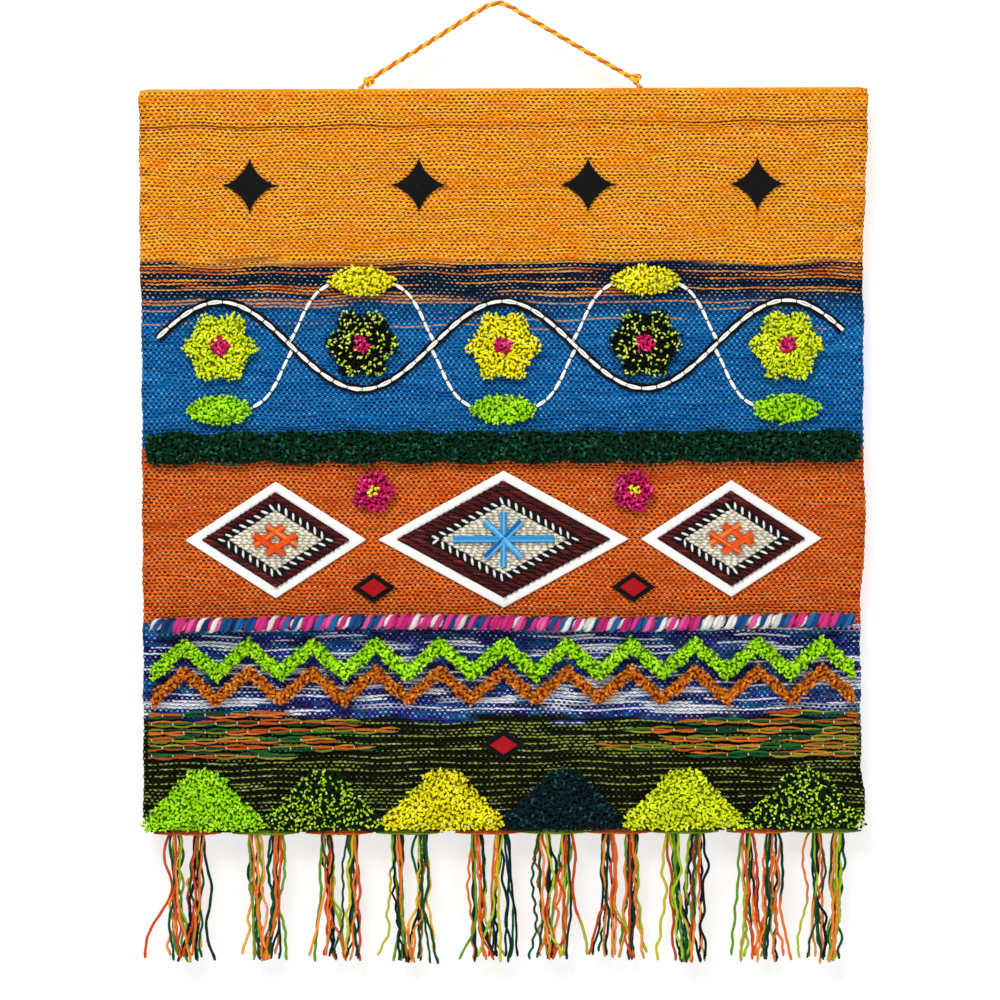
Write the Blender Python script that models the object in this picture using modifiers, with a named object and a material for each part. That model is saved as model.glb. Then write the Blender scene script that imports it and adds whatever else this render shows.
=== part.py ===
"""A woven wall hanging: a thick weft-faced cloth with a folded hem, knotted pile motifs,
couched ropes, felt and wrapped trims, a yarn fringe and a twisted hanger cord."""

import math
import random

import bmesh
import bpy
from mathutils import Vector

MM = 0.001

# The cloth hangs in the XZ plane with its face towards -Y. The origin is the top of the hanger cord.
CLOTH_WIDTH = 500 * MM
CLOTH_DROP = 508 * MM
CLOTH_THICK = 2.4 * MM
CLOTH_MIDDLE = 3.1 * MM
CLOTH_TOP = -59.2 * MM
TOP_TILT = 0.0034
FACE_Y = -2.4 * MM
HEM_DROP = 23 * MM
HEM_STEP = 1.6 * MM
CORNER_ROUND = 3.5 * MM
FOLD_SET_BACK = 0.7 * MM
FOLD_SHARE = 0.72
COLUMNS = 21
ROWS = 24
SELVEDGE_WAVE = 0.35 * MM
SELVEDGE_PITCH = 41 * MM

# The gap under everything that is sewn on or knotted through, and under stiffer flat felt
SEAT_GAP = 0.45 * MM
FELT_GAP = 0.6 * MM

DRAWN_IN = (
    # drop, left side, right side
    (0, 0.0, 0.0),
    (42, 1.0, 1.4),
    (118, 1.2, 4.6),
    (158, 2.4, 3.6),
    (248, 2.9, 3.9),
    (302, 3.0, 1.8),
    (354, 3.6, 6.0),
    (467, 4.0, 5.4),
    (484, 3.6, 2.8),
    (508, 3.8, 2.6),
)

HANGING_WAVES = (
    # depth, wavelength across, wavelength down, phase
    (0.70, 330, 900, 0.4),
    (0.45, 170, -420, 2.1),
    (0.12, 96, 250, 4.0),
)


def table_value(table, drop, column):
    """A column of a table of drops in millimetres, read between its rows."""
    drop = min(max(drop / MM, table[0][0]), table[-1][0])
    for above, below in zip(table, table[1:]):
        if drop <= below[0]:
            share = (drop - above[0]) / (below[0] - above[0])
            return (above[column] + share * (below[column] - above[column])) * MM
    return table[-1][column] * MM


def side(drop, column):
    """How far out from the middle the left (1) or right (2) selvedge runs."""
    wave = SELVEDGE_WAVE * math.sin(2 * math.pi * drop / SELVEDGE_PITCH + column)
    return CLOTH_WIDTH / 2 - table_value(DRAWN_IN, drop, column) + wave


def unevenness(u, drop):
    """How far the face stands behind its flat place: slow waves that start below the hem."""
    grown = min(1.0, drop / (3 * HEM_DROP))
    deep = 0.0
    for depth, across, down, phase in HANGING_WAVES:
        turn = u / (across * MM) + drop / (down * MM)
        deep += depth * MM * math.sin(2 * math.pi * turn + phase)
    return grown * deep


def on_cloth(u, drop, proud=0.0):
    """A point u to the right of the cloth's middle, drop below its top edge, proud of its face."""
    height = CLOTH_TOP + TOP_TILT * u - drop
    return Vector((CLOTH_MIDDLE + u, FACE_Y + unevenness(u, drop) - proud, height))


def finish_of(name, colour, roughness):
    """A plain dyed fibre."""
    material = bpy.data.materials.new(name)
    material.use_nodes = True
    shader = material.node_tree.nodes["Principled BSDF"]
    shader.inputs["Base Color"].default_value = (*colour, 1.0)
    shader.inputs["Roughness"].default_value = roughness
    shader.inputs["Metallic"].default_value = 0.0
    return material


def add_piece(name, data, colour, roughness=0.95):
    """An object in the hanging's collection, in its own dyed fibre."""
    piece = bpy.data.objects.new(name, data)
    data.materials.append(finish_of(name, colour, roughness))
    hanging.objects.link(piece)
    return piece


def add_bmesh(name, bm, colour, smooth=True):
    """An object from an edit mesh."""
    mesh = bpy.data.meshes.new(name)
    bm.to_mesh(mesh)
    bm.free()
    if smooth:
        mesh.shade_smooth()
        mesh.set_sharp_from_angle(angle=math.radians(50))
    return add_piece(name, mesh, colour)


def skin(rings, joined=False):
    """A closed edit mesh over rings of points, capped at its ends or joined head to tail."""
    bm = bmesh.new()
    loops = [[bm.verts.new(point) for point in ring] for ring in rings]
    spans = list(zip(loops, loops[1:]))
    if joined:
        spans.append((loops[-1], loops[0]))
    bands = []
    for near, far in spans:
        count = len(near)
        band = []
        for i in range(count):
            j = (i + 1) % count
            band.append(bm.faces.new((near[i], near[j], far[j], far[i])))
        bands.append(band)
    if not joined:
        bm.faces.new(list(reversed(loops[0])))
        bm.faces.new(loops[-1])
    bmesh.ops.recalc_face_normals(bm, faces=bm.faces)
    return bm, bands


# Colours of the dyed yarns and felts
OCHRE = (0.80, 0.30, 0.02)
CORD_ORANGE = (0.85, 0.30, 0.02)
LIME = (0.28, 0.60, 0.02)
YELLOW_LIME = (0.50, 0.64, 0.02)
YELLOW = (0.80, 0.72, 0.01)
DARK_GREEN = (0.01, 0.06, 0.03)
TEAL = (0.01, 0.05, 0.06)
ORANGE = (0.60, 0.19, 0.02)
BLACK = (0.01, 0.01, 0.01)
WHITE = (0.85, 0.84, 0.80)
CREAM = (0.70, 0.66, 0.52)
MAROON = (0.09, 0.01, 0.015)
STRAP_BLUE = (0.02, 0.20, 0.55)
STRAP_ORANGE = (0.85, 0.15, 0.01)
PINK = (0.60, 0.04, 0.20)
RED_FELT = (0.40, 0.01, 0.015)


# Cloth
def build_cloth():
    """The woven panel: one grid, thickened backwards, twice as thick in its folded hem."""
    bm = bmesh.new()
    bmesh.ops.create_grid(bm, x_segments=COLUMNS, y_segments=ROWS, size=0.5)
    hem_rows = (0.0, HEM_STEP, HEM_DROP - HEM_STEP / 2, HEM_DROP + HEM_STEP / 2)
    body_rows = ROWS - len(hem_rows) + 1
    drops = list(hem_rows)
    for row in range(1, body_rows + 1):
        drops.append(hem_rows[-1] + (CLOTH_DROP - hem_rows[-1]) * row / body_rows)
    thickness = {}
    for vert in bm.verts:
        row = round((0.5 - vert.co.y) * ROWS)
        share = vert.co.x + 0.5
        drop = drops[row]
        left, right = -side(drop, 1), side(drop, 2)
        u = left + (right - left) * share
        from_side = min(share, 1 - share) * CLOTH_WIDTH
        from_end = min(drop, CLOTH_DROP - drop)
        corner = max(0.0, 1 - from_side / CORNER_ROUND) * max(0.0, 1 - from_end / CORNER_ROUND)
        tuck = corner * CORNER_ROUND / 2
        u -= math.copysign(tuck, u)
        drop += tuck if drop < CLOTH_DROP / 2 else -tuck
        folded = row == 0
        vert.co = on_cloth(u, drop, -FOLD_SET_BACK if folded else 0.0)
        doubled = drop < HEM_DROP
        thickness[vert.index] = FOLD_SHARE if folded else (1.0 if doubled else 0.5)
    bmesh.ops.recalc_face_normals(bm, faces=bm.faces)
    if bm.faces[0].normal.y > 0:
        bmesh.ops.reverse_faces(bm, faces=bm.faces)
    cloth = add_bmesh("cloth", bm, OCHRE)
    layers = cloth.vertex_groups.new(name="layers")
    for index, share in thickness.items():
        layers.add([index], share, "REPLACE")
    fold = cloth.modifiers.new("layers", "SOLIDIFY")
    fold.thickness = 2 * CLOTH_THICK
    fold.offset = -1.0
    fold.vertex_group = "layers"


# Hanger cord and its knots
CORD_THICK = 3.5 * MM
CORD_PITCH = 10.5 * MM
CORD_STEPS = 5
CORD_ROUTE = (
    # across, down from the nail
    (-88.6, 52.3),
    (-64.0, 36.9),
    (-38.0, 20.6),
    (-19.0, 8.5),
    (-9.5, 2.8),
    (-4.0, 0.6),
    (0.0, 0.0),
    (4.2, 0.8),
    (9.8, 3.6),
    (20.0, 9.9),
    (40.0, 21.6),
    (66.0, 36.8),
    (90.0, 50.6),
)
KNOTS = (
    # name, across, down, tail across
    ("hanger_knot_left", -92.2, 55.0, -95.0),
    ("hanger_knot_right", 93.8, 53.0, 96.8),
)
KNOT_STATIONS = (
    # share of the way from the tail's end, radius
    (0.00, 1.2),
    (0.12, 1.7),
    (0.26, 1.8),
    (0.34, 2.9),
    (0.44, 2.6),
    (0.54, 3.6),
    (0.64, 3.0),
    (0.76, 3.4),
    (0.86, 2.3),
    (1.00, 1.8),
)
KNOT_SIDES = 8
KNOT_STEP = 0.9 * MM
TAIL_RISE = 0.25 * MM
ROUTE_SAMPLES = 20


def smooth_route(route, step):
    """Points a step apart on the smooth curve through a route's own points."""
    ends = [route[0] * 2 - route[1]] + list(route) + [route[-1] * 2 - route[-2]]
    dense = []
    for a, b, c, d in zip(ends, ends[1:], ends[2:], ends[3:]):
        for k in range(ROUTE_SAMPLES):
            t = k / ROUTE_SAMPLES
            dense.append(
                0.5
                * (
                    2 * b
                    + (c - a) * t
                    + (2 * a - 5 * b + 4 * c - d) * t * t
                    + (3 * b - a - 3 * c + d) * t ** 3
                )
            )
    dense.append(route[-1])
    lengths = [0.0]
    for near, far in zip(dense, dense[1:]):
        lengths.append(lengths[-1] + (far - near).length)
    count = max(2, round(lengths[-1] / step))
    points = []
    spot = 0
    for k in range(count + 1):
        want = lengths[-1] * k / count
        while spot < len(lengths) - 2 and lengths[spot + 1] < want:
            spot += 1
        share = (want - lengths[spot]) / (lengths[spot + 1] - lengths[spot])
        points.append(dense[spot].lerp(dense[spot + 1], share))
    return points


def rope_rings(points, radius_at, plies, pitch, lobe, sides):
    """Rings round a path, each with a lobe for every ply, turned on along its length."""
    out = Vector((0, -1, 0))
    rings = []
    run = 0.0
    for k, point in enumerate(points):
        before = points[max(k - 1, 0)]
        after = points[min(k + 1, len(points) - 1)]
        along = (after - before).normalized()
        across = along.cross(out).normalized()
        if k:
            run += (point - before).length
        ring = []
        for i in range(sides):
            angle = 2 * math.pi * (i / sides + run / pitch)
            reach = radius_at(k) * (1 - lobe + lobe * math.cos(plies * 2 * math.pi * i / sides))
            ring.append(point + across * reach * math.cos(angle) + out * reach * math.sin(angle))
        rings.append(ring)
    return rings


def knot_radius(share):
    """The radius of a knot at a share of the way from its tail's end."""
    for near, far in zip(KNOT_STATIONS, KNOT_STATIONS[1:]):
        if share <= far[0]:
            part = (share - near[0]) / (far[0] - near[0])
            return (near[1] + part * (far[1] - near[1])) * MM
    return KNOT_STATIONS[-1][1] * MM


def build_knot(name, x, down, tail, cord_end, cord_next):
    """An overhand knot that stands on the top edge on its cut tail, just clear of its cord."""
    edge = CLOTH_TOP + TOP_TILT * (tail * MM - CLOTH_MIDDLE)
    tail_end = Vector((tail * MM, 0, edge + SEAT_GAP + TAIL_RISE))
    centre = Vector((x * MM, 0, -down * MM))
    near_cord = cord_end + (cord_end - cord_next).normalized() * SEAT_GAP
    path = smooth_route([tail_end, centre, near_cord], KNOT_STEP)
    last = len(path) - 1
    rings = rope_rings(path, lambda k: knot_radius(k / last), 2, 3 * CORD_PITCH, 0.08, KNOT_SIDES)
    add_bmesh(name, skin(rings)[0], CORD_ORANGE)


def build_hanger():
    """The two-ply cord over the nail, and its knots."""
    route = [Vector((x * MM, 0, -down * MM)) for x, down in CORD_ROUTE]
    points = smooth_route(route, CORD_PITCH / CORD_STEPS)
    rings = rope_rings(points, lambda k: CORD_THICK / 2, 2, CORD_PITCH, 0.16, 6)
    add_bmesh("hanger_cord", skin(rings)[0], CORD_ORANGE)
    ends = ((route[0], route[1]), (route[-1], route[-2]))
    for (name, x, down, tail), (cord_end, cord_next) in zip(KNOTS, ends):
        build_knot(name, x, down, tail, cord_end, cord_next)


# Fringe
FRINGE_GROUPS = (
    # middle, left bundle, right bundle, length, colour
    (-218.5, -6.5, 10.0, 91, "orange"),
    (-164.0, -7.5, 9.5, 90, "green"),
    (-112.5, -9.0, 9.0, 91, "orange"),
    (-64.0, -9.5, 8.5, 92, "green"),
    (-9.5, -9.0, 8.0, 92, "orange"),
    (35.5, -8.0, 8.5, 90, "green"),
    (80.0, -8.5, 8.0, 90, "orange"),
    (124.5, -8.5, 8.5, 92, "green"),
    (176.0, -8.5, 8.5, 92, "orange"),
    (224.0, -9.5, 6.5, 93, "green"),
)
STRANDS = 5
STRAND_PITCH = 2.75 * MM
STRAND_THICK = 1.7 * MM
STRAND_LAYER = 1.35 * MM
FLOAT_END = 5.0 * MM
FLOAT_DEEP = 2.4 * MM
FLOAT_DEPTH = 1.6 * MM
FIRST_SPREAD = 9 * MM
STRAND_STATIONS = (
    # share of the length, flare of the bundle, sway
    (0.55, 1.15, 1.0),
    (1.00, 1.35, 1.5),
)
FRINGE_YARNS = {"orange": (0.70, 0.17, 0.03), "green": (0.08, 0.22, 0.05)}


def grow_strand(bm, face, places):
    """Draws one face of the float down into a yarn through its places."""
    for place in places:
        middle = face.calc_center_median()
        face = bmesh.ops.extrude_discrete_faces(bm, faces=[face])["faces"][0]
        for vert in face.verts:
            vert.co = place + Vector((
                math.copysign(STRAND_THICK / 2, vert.co.x - middle.x),
                math.copysign(STRAND_THICK / 2, vert.co.y - middle.y),
                0,
            ))


def build_fringe_group(number, middle, bundles, length, colour):
    """A lens-shaped float of yarn under the bottom edge, and the two bundles that hang from it."""
    rng = random.Random(40 + number)
    roots = []
    for bundle in bundles:
        for i in range(STRANDS):
            roots.append((bundle, bundle + (i - (STRANDS - 1) / 2) * STRAND_PITCH))
    start, end = roots[0][1] - FLOAT_END, roots[-1][1] + FLOAT_END
    cuts = [start]
    for _, root in roots:
        cuts += [root - STRAND_THICK / 2, root + STRAND_THICK / 2]
    cuts.append(end)
    mid_y = FACE_Y + CLOTH_THICK / 2
    rings = []
    for cut in cuts:
        bulge = math.sin(math.pi * (0.08 + 0.84 * (cut - start) / (end - start)))
        top = on_cloth(middle + cut, CLOTH_DROP).z - SEAT_GAP
        bottom = top - FLOAT_DEEP * (0.35 + 0.65 * bulge)
        deep = FLOAT_DEPTH * (0.4 + 0.6 * bulge)
        x = CLOTH_MIDDLE + middle + cut
        rings.append([
            Vector((x, mid_y - deep, top)),
            Vector((x, mid_y + deep, top)),
            Vector((x, mid_y + deep, bottom)),
            Vector((x, mid_y - deep, bottom)),
        ])
    bm, bands = skin(rings)
    foot = on_cloth(middle, CLOTH_DROP).z - length
    for i, (bundle, root) in enumerate(roots):
        layer = mid_y + (STRAND_LAYER if i % 2 else -STRAND_LAYER)
        top = rings[1 + 2 * i][2].z
        x = CLOTH_MIDDLE + middle + root
        places = [Vector((x, layer, top - FIRST_SPREAD))]
        lean = rng.uniform(-1.0, 1.0) * MM
        for share, flare, sway in STRAND_STATIONS:
            drift = lean * share + rng.uniform(-sway, sway) * MM
            short = rng.uniform(0.0, 5.0) * MM if share == 1.0 else 0.0
            places.append(Vector((
                CLOTH_MIDDLE + middle + bundle + (root - bundle) * flare + drift,
                layer,
                top + (foot - top) * share + short,
            )))
        grow_strand(bm, bands[1 + 2 * i][2], places)
    bmesh.ops.recalc_face_normals(bm, faces=bm.faces)
    add_bmesh(f"fringe_{number:02d}", bm, FRINGE_YARNS[colour], smooth=False)


# Pile
PILE_HEIGHT = 7.0 * MM
PILE_LUMP = 1.0 * MM
LOCK_REACH = 3.4 * MM
MOUND_RINGS = (
    # share of the outline, share of the height
    (0.50, 0.0),
    (0.95, 0.0),
    (1.00, 0.40),
    (0.87, 0.88),
    (0.45, 1.05),
)
RIM_BAND = 1


def draw_locks(bm, faces, centre, rng):
    """Pulls rim faces out into four-sided locks of yarn."""
    for face in faces:
        middle = face.calc_center_median()
        tip = bmesh.ops.poke(bm, faces=[face])["verts"][0]
        out = Vector((middle.x - centre.x, 0, middle.z - centre.z)).normalized()
        tip.co = middle + out * LOCK_REACH * rng.uniform(0.7, 1.1)
        tip.co.y -= rng.uniform(0.1, 0.8) * MM


def build_mound(name, u, drop, outline, colour, seed, every=3, height=PILE_HEIGHT, first=0):
    """A patch of knotted pile: a lumpy mound over an outline, with locks at its rim."""
    rng = random.Random(seed)
    rings = []
    for share, lift in MOUND_RINGS:
        ring = []
        for across, down in outline:
            bump = rng.uniform(-PILE_LUMP, PILE_LUMP) if lift > 0.5 else 0.0
            proud = SEAT_GAP + height * lift + bump
            ring.append(on_cloth(u + across * share, drop + down * share, proud))
        rings.append(ring)
    bm, bands = skin(rings)
    draw_locks(bm, bands[RIM_BAND][first::every], on_cloth(u, drop), rng)
    add_bmesh(name, bm, colour)


STRIP_SECTION = (
    # share of the half width, share of the height
    (-0.95, 0.0),
    (-1.00, 0.40),
    (-0.66, 1.00),
    (0.66, 1.00),
    (1.00, 0.40),
    (0.95, 0.0),
)


def build_pile_strip(name, stations, colour, seed, every, height=PILE_HEIGHT):
    """A long patch of knotted pile along stations of (u, drop, half width)."""
    rng = random.Random(seed)
    rings = []
    for u, drop, half in stations:
        ring = []
        for share, lift in STRIP_SECTION:
            bump = rng.uniform(-PILE_LUMP, PILE_LUMP) if lift > 0.5 else 0.0
            wander = rng.uniform(-0.4, 0.4) * MM
            proud = SEAT_GAP + height * lift + bump
            ring.append(on_cloth(u, drop + share * half + wander, proud))
        rings.append(ring)
    bm, bands = skin(rings)
    chosen = [band[0] for band in bands[1::every]] + [band[4] for band in bands[::every]]
    for face in chosen:
        middle = face.calc_center_median()
        mid_drop = CLOTH_TOP + TOP_TILT * (middle.x - CLOTH_MIDDLE) - middle.z
        near = min(stations, key=lambda station: abs(station[0] + CLOTH_MIDDLE - middle.x))
        lower = 1 if mid_drop > near[1] else -1
        draw_locks(bm, [face], middle + Vector((0, 0, 0.01 * lower)), rng)
    add_bmesh(name, bm, colour)


# Felt
FELT_THICK = 1.5 * MM
STAR_REACH = 19 * MM
STAR_DROP = 66 * MM
STAR_PLACES = (-174, -58, 58, 174)


def add_flat(name, outlines, u, drop, proud, thick, colour):
    """A flat piece cut to an outline, with any holes as further outlines, laid to the cloth's waves."""
    curve = bpy.data.curves.new(name, "CURVE")
    curve.dimensions = "2D"
    curve.fill_mode = "BOTH"
    curve.extrude = thick / 2
    for outline in outlines:
        spline = curve.splines.new("POLY")
        spline.points.add(len(outline) - 1)
        for point, (across, down) in zip(spline.points, outline):
            point.co = (across, -down, 0, 1)
        spline.use_cyclic_u = True
    cut = bpy.data.objects.new(name, curve)
    hanging.objects.link(cut)
    shape = cut.evaluated_get(bpy.context.evaluated_depsgraph_get())
    bm = bmesh.new()
    bm.from_mesh(bpy.data.meshes.new_from_object(shape))
    bpy.data.objects.remove(cut)
    bmesh.ops.remove_doubles(bm, verts=bm.verts, dist=0.01 * MM)
    for vert in bm.verts:
        lift = proud + thick / 2 + vert.co.z
        vert.co = on_cloth(u + vert.co.x, drop - vert.co.y, lift)
    bmesh.ops.recalc_face_normals(bm, faces=bm.faces)
    add_bmesh(name, bm, colour, smooth=False)


def star_outline(reach, points=24, hollow=2.9):
    """A four-pointed star with hollow sides."""
    outline = []
    for k in range(points):
        angle = 2 * math.pi * k / points
        across, down = math.cos(angle), math.sin(angle)
        outline.append((
            math.copysign(abs(across) ** hollow, across) * reach,
            math.copysign(abs(down) ** hollow, down) * reach,
        ))
    return outline


def diamond(half_wide, half_tall):
    """The four corners of a lozenge."""
    return [(half_wide, 0), (0, half_tall), (-half_wide, 0), (0, -half_tall)]


# Vine, with its flowers and leaves
VINE_DROP = 176 * MM
VINE_SWING = 30 * MM
VINE_HALF_WAVE = 97 * MM
VINE_SIDE = 237 * MM
VINE_WIDE = 6.5 * MM
VINE_THICK = 2.2 * MM
VINE_YARN = 1.9 * MM
VINE_STEPS = 46
FLOWER_REACH = 22.5 * MM
LEAF_HALF = (23 * MM, 9.5 * MM)
LEAF_OUT = 44 * MM


def vine_at(u):
    """The drop of the vine's middle line."""
    return VINE_DROP - VINE_SWING * math.cos(math.pi * u / VINE_HALF_WAVE)


def build_vine():
    """A black couched band that swings across the cloth, with a white yarn along its middle."""
    rows = [-VINE_SIDE + 2 * VINE_SIDE * k / VINE_STEPS for k in range(VINE_STEPS + 1)]
    band, yarn = [], []
    for u in rows:
        slope = (vine_at(u + MM) - vine_at(u - MM)) / (2 * MM)
        steep = math.hypot(1, slope)
        across, down = -slope / steep, 1 / steep
        drop = vine_at(u)
        ring = []
        for share, lift in ((-1, 0), (-0.8, 1), (0.8, 1), (1, 0)):
            reach = share * VINE_WIDE / 2
            proud = SEAT_GAP + lift * VINE_THICK
            ring.append(on_cloth(u + across * reach, drop + down * reach, proud))
        band.append(ring)
        ring = []
        for share, lift in ((-1, 0.3), (0, 1), (1, 0.3), (0, 0)):
            reach = share * VINE_YARN / 2
            proud = 2 * SEAT_GAP + VINE_THICK + lift * VINE_YARN
            ring.append(on_cloth(u + across * reach, drop + down * reach, proud))
        yarn.append(ring)
    add_bmesh("vine_band", skin(band)[0], BLACK)
    add_bmesh("vine_yarn", skin(yarn)[0], WHITE)


def build_flowers_and_leaves():
    """A six-petalled flower in each swing of the vine, and a leaf on its other side."""
    flower_dyes = (YELLOW_LIME, DARK_GREEN, YELLOW, DARK_GREEN, YELLOW_LIME)
    leaf_dyes = (LIME, YELLOW, LIME, YELLOW, LIME)
    for k in range(5):
        u = (k - 2) * VINE_HALF_WAVE
        inner = 1 if k % 2 == 0 else -1
        petals = petalled(FLOWER_REACH, 6, 0.11, 24)
        build_mound(f"flower_{k + 1}", u, VINE_DROP + inner * MM, petals, flower_dyes[k], k, 3)
        leaf = []
        for i in range(12):
            angle = 2 * math.pi * i / 12
            pinch = abs(math.sin(angle)) ** 1.3
            leaf.append((
                LEAF_HALF[0] * math.cos(angle),
                LEAF_HALF[1] * math.copysign(pinch, math.sin(angle)),
            ))
        place = VINE_DROP + inner * LEAF_OUT
        build_mound(f"leaf_{k + 1}", u, place, leaf, leaf_dyes[k], 20 + k, 2, 0.8 * PILE_HEIGHT)


# Green band
BAND_DROP = 246 * MM
BAND_HALF = 8.8 * MM
BAND_SCALLOP = 2.6 * MM
BAND_SCALLOPS = 12
BAND_STEPS = 36
BAND_SIDE = 244 * MM


def build_green_band():
    """A narrow band of dark pile with a scalloped outline."""
    stations = []
    for k in range(BAND_STEPS + 1):
        u = -BAND_SIDE + 2 * BAND_SIDE * k / BAND_STEPS
        swell = abs(math.sin(math.pi * BAND_SCALLOPS * k / BAND_STEPS))
        stations.append((u, BAND_DROP, BAND_HALF + BAND_SCALLOP * swell))
    build_pile_strip("green_band", stations, DARK_GREEN, 31, 4)


# Lozenges
LOZENGES = (
    # name, middle, half width, half height, maroon width
    ("left", -156, 62, 40, 9.5),
    ("middle", 0, 86, 47, 13.5),
    ("right", 156, 62, 40, 9.5),
)
LOZENGE_DROP = 309 * MM
TAPE_WIDE = 6.2 * MM
TAPE_THICK = 1.4 * MM
SOUMAK_THICK = 3.2 * MM
CREAM_THICK = 3.0 * MM
STRAP_WIDE = 4.6 * MM
STRAP_THICK = 2.6 * MM
SIDE_STEPS = 4
LATTICE_SPREAD = 0.24
LATTICE_REACH = 0.56
LATTICE_SIZE = 0.72


def inset(half_wide, half_tall, distance):
    """The half sizes of a lozenge drawn in by a distance all round."""
    slant = math.hypot(half_wide, half_tall)
    return half_wide - distance * slant / half_tall, half_tall - distance * slant / half_wide


def lozenge_points(u, drop, half_wide, half_tall, proud):
    """A lozenge's outline on the cloth, each side in short steps."""
    corners = diamond(half_wide, half_tall)
    points = []
    for (x, y), (next_x, next_y) in zip(corners, corners[1:] + corners[:1]):
        for k in range(SIDE_STEPS):
            share = k / SIDE_STEPS
            across = x + (next_x - x) * share
            down = y + (next_y - y) * share
            points.append(on_cloth(u + across, drop + down, proud))
    return points


def build_lozenge_ring(name, u, outer, wide, thick, colour):
    """A flat band that follows a lozenge's sides."""
    inner = inset(*outer, wide)
    low, high = SEAT_GAP, SEAT_GAP + thick
    rings = [
        lozenge_points(u, LOZENGE_DROP, *outer, low),
        lozenge_points(u, LOZENGE_DROP, *outer, high),
        lozenge_points(u, LOZENGE_DROP, *inner, high),
        lozenge_points(u, LOZENGE_DROP, *inner, low),
    ]
    add_bmesh(name, skin(rings, joined=True)[0], colour)
    return inset(*inner, SEAT_GAP)


def ray_star(half_wide, half_tall, strap):
    """Eight straps from one middle, longest across, as one outline."""
    outline = []
    for k in range(8):
        angle = math.pi / 4 * k
        cos, sin = math.cos(angle), math.sin(angle)
        reach = 1 / (abs(cos) / half_wide + abs(sin) / half_tall)
        for turn in (-1, 1):
            outline.append((
                reach * cos - turn * strap / 2 * sin,
                reach * sin + turn * strap / 2 * cos,
            ))
        valley = strap / 2 / math.sin(math.pi / 8)
        between = angle + math.pi / 8
        outline.append((valley * math.cos(between), valley * math.sin(between)))
    return [outline]


def crossed_straps(half_wide, half_tall, strap):
    """Two straps each way, slanted along the lozenge's sides, as one outline with its hole."""
    slant = math.hypot(half_wide, half_tall)
    offset, reach = LATTICE_SPREAD * slant, LATTICE_REACH * slant
    near, far = offset - strap / 2, offset + strap / 2
    quarter = [(far, -near), (far, near), (reach, near), (reach, far)]
    quarter += [(far, far), (far, reach), (near, reach)]
    outer = []
    for turn in range(4):
        for s, t in quarter:
            for _ in range(turn):
                s, t = -t, s
            outer.append((s, t))
    hole = [(near, near), (-near, near), (-near, -near), (near, -near)]
    across, down = LATTICE_SIZE * half_wide / slant, LATTICE_SIZE * half_tall / slant
    return [[((s - t) * across, (s + t) * down) for s, t in ring] for ring in (outer, hole)]


def build_lozenges():
    """Three lozenges: a white tape edge, a maroon ring, a cream middle and wrapped straps."""
    for name, middle, half_wide, half_tall, maroon in LOZENGES:
        u = middle * MM
        size = (half_wide * MM, half_tall * MM)
        size = build_lozenge_ring(f"tape_{name}", u, size, TAPE_WIDE, TAPE_THICK, WHITE)
        size = build_lozenge_ring(f"maroon_{name}", u, size, maroon * MM, SOUMAK_THICK, MAROON)
        rings = []
        for share, lift in ((0.5, 0), (1, 0), (1, 1), (0.5, 1)):
            proud = SEAT_GAP + lift * CREAM_THICK
            wide, tall = size[0] * share, size[1] * share
            rings.append(lozenge_points(u, LOZENGE_DROP, wide, tall, proud))
        add_bmesh(f"cream_{name}", skin(rings)[0], CREAM)
        straps = ray_star if name == "middle" else crossed_straps
        colour = STRAP_BLUE if name == "middle" else STRAP_ORANGE
        outlines = straps(0.8 * size[0], 0.8 * size[1], STRAP_WIDE)
        proud = 2 * SEAT_GAP + CREAM_THICK
        add_flat(f"straps_{name}", outlines, u, LOZENGE_DROP, proud, STRAP_THICK, colour)


# Pink blossoms between the lozenges
BLOSSOMS = (-89, 89)
BLOSSOM_DROP = 276 * MM
BLOSSOM_REACH = 13 * MM


def petalled(reach, petals, depth, points):
    """A round outline with a number of petals."""
    outline = []
    for i in range(points):
        angle = 2 * math.pi * i / points
        out = reach * (1 + depth * math.cos(petals * angle))
        outline.append((out * math.cos(angle), out * math.sin(angle)))
    return outline


def build_blossoms():
    """A small pile blossom above each gap between the lozenges."""
    outline = petalled(BLOSSOM_REACH, 5, 0.08, 15)
    for k, middle in enumerate(BLOSSOMS):
        name = f"blossom_{k + 1}"
        build_mound(name, middle * MM, BLOSSOM_DROP, outline, PINK, 80 + k, 3)


# Garland
GARLAND_DROP = 366 * MM
GARLAND_THICK = 12 * MM
GARLAND_PITCH = 16 * MM
GARLAND_STEPS = 5
GARLAND_SIDE = 241 * MM
GARLAND_SAG = 1.2 * MM


def build_garland():
    """A rope of two thick rovings laid right across and stitched down."""
    route = []
    for k in range(31):
        u = -GARLAND_SIDE + 2 * GARLAND_SIDE * k / 30
        drop = GARLAND_DROP + GARLAND_SAG * math.sin(5 * u / GARLAND_SIDE)
        route.append(on_cloth(u, drop, SEAT_GAP + GARLAND_THICK / 2))
    points = smooth_route(route, GARLAND_PITCH / GARLAND_STEPS)
    last = len(points) - 1

    def radius_at(k):
        return GARLAND_THICK / 2 * (0.7 if k in (0, last) else 1.0)

    rings = rope_rings(points, radius_at, 2, GARLAND_PITCH, 0.19, 8)
    add_bmesh("garland", skin(rings)[0], PINK)


# Zigzags
ZIGZAGS = (
    # name, drop, half width, colour, seed
    ("zigzag_lime", 391, 5.8, LIME, 51),
    ("zigzag_orange", 409, 4.6, ORANGE, 52),
)
ZIGZAG_SWING = 9.5 * MM
ZIGZAG_PEAKS = 11
ZIGZAG_SIDE = 240 * MM


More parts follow.
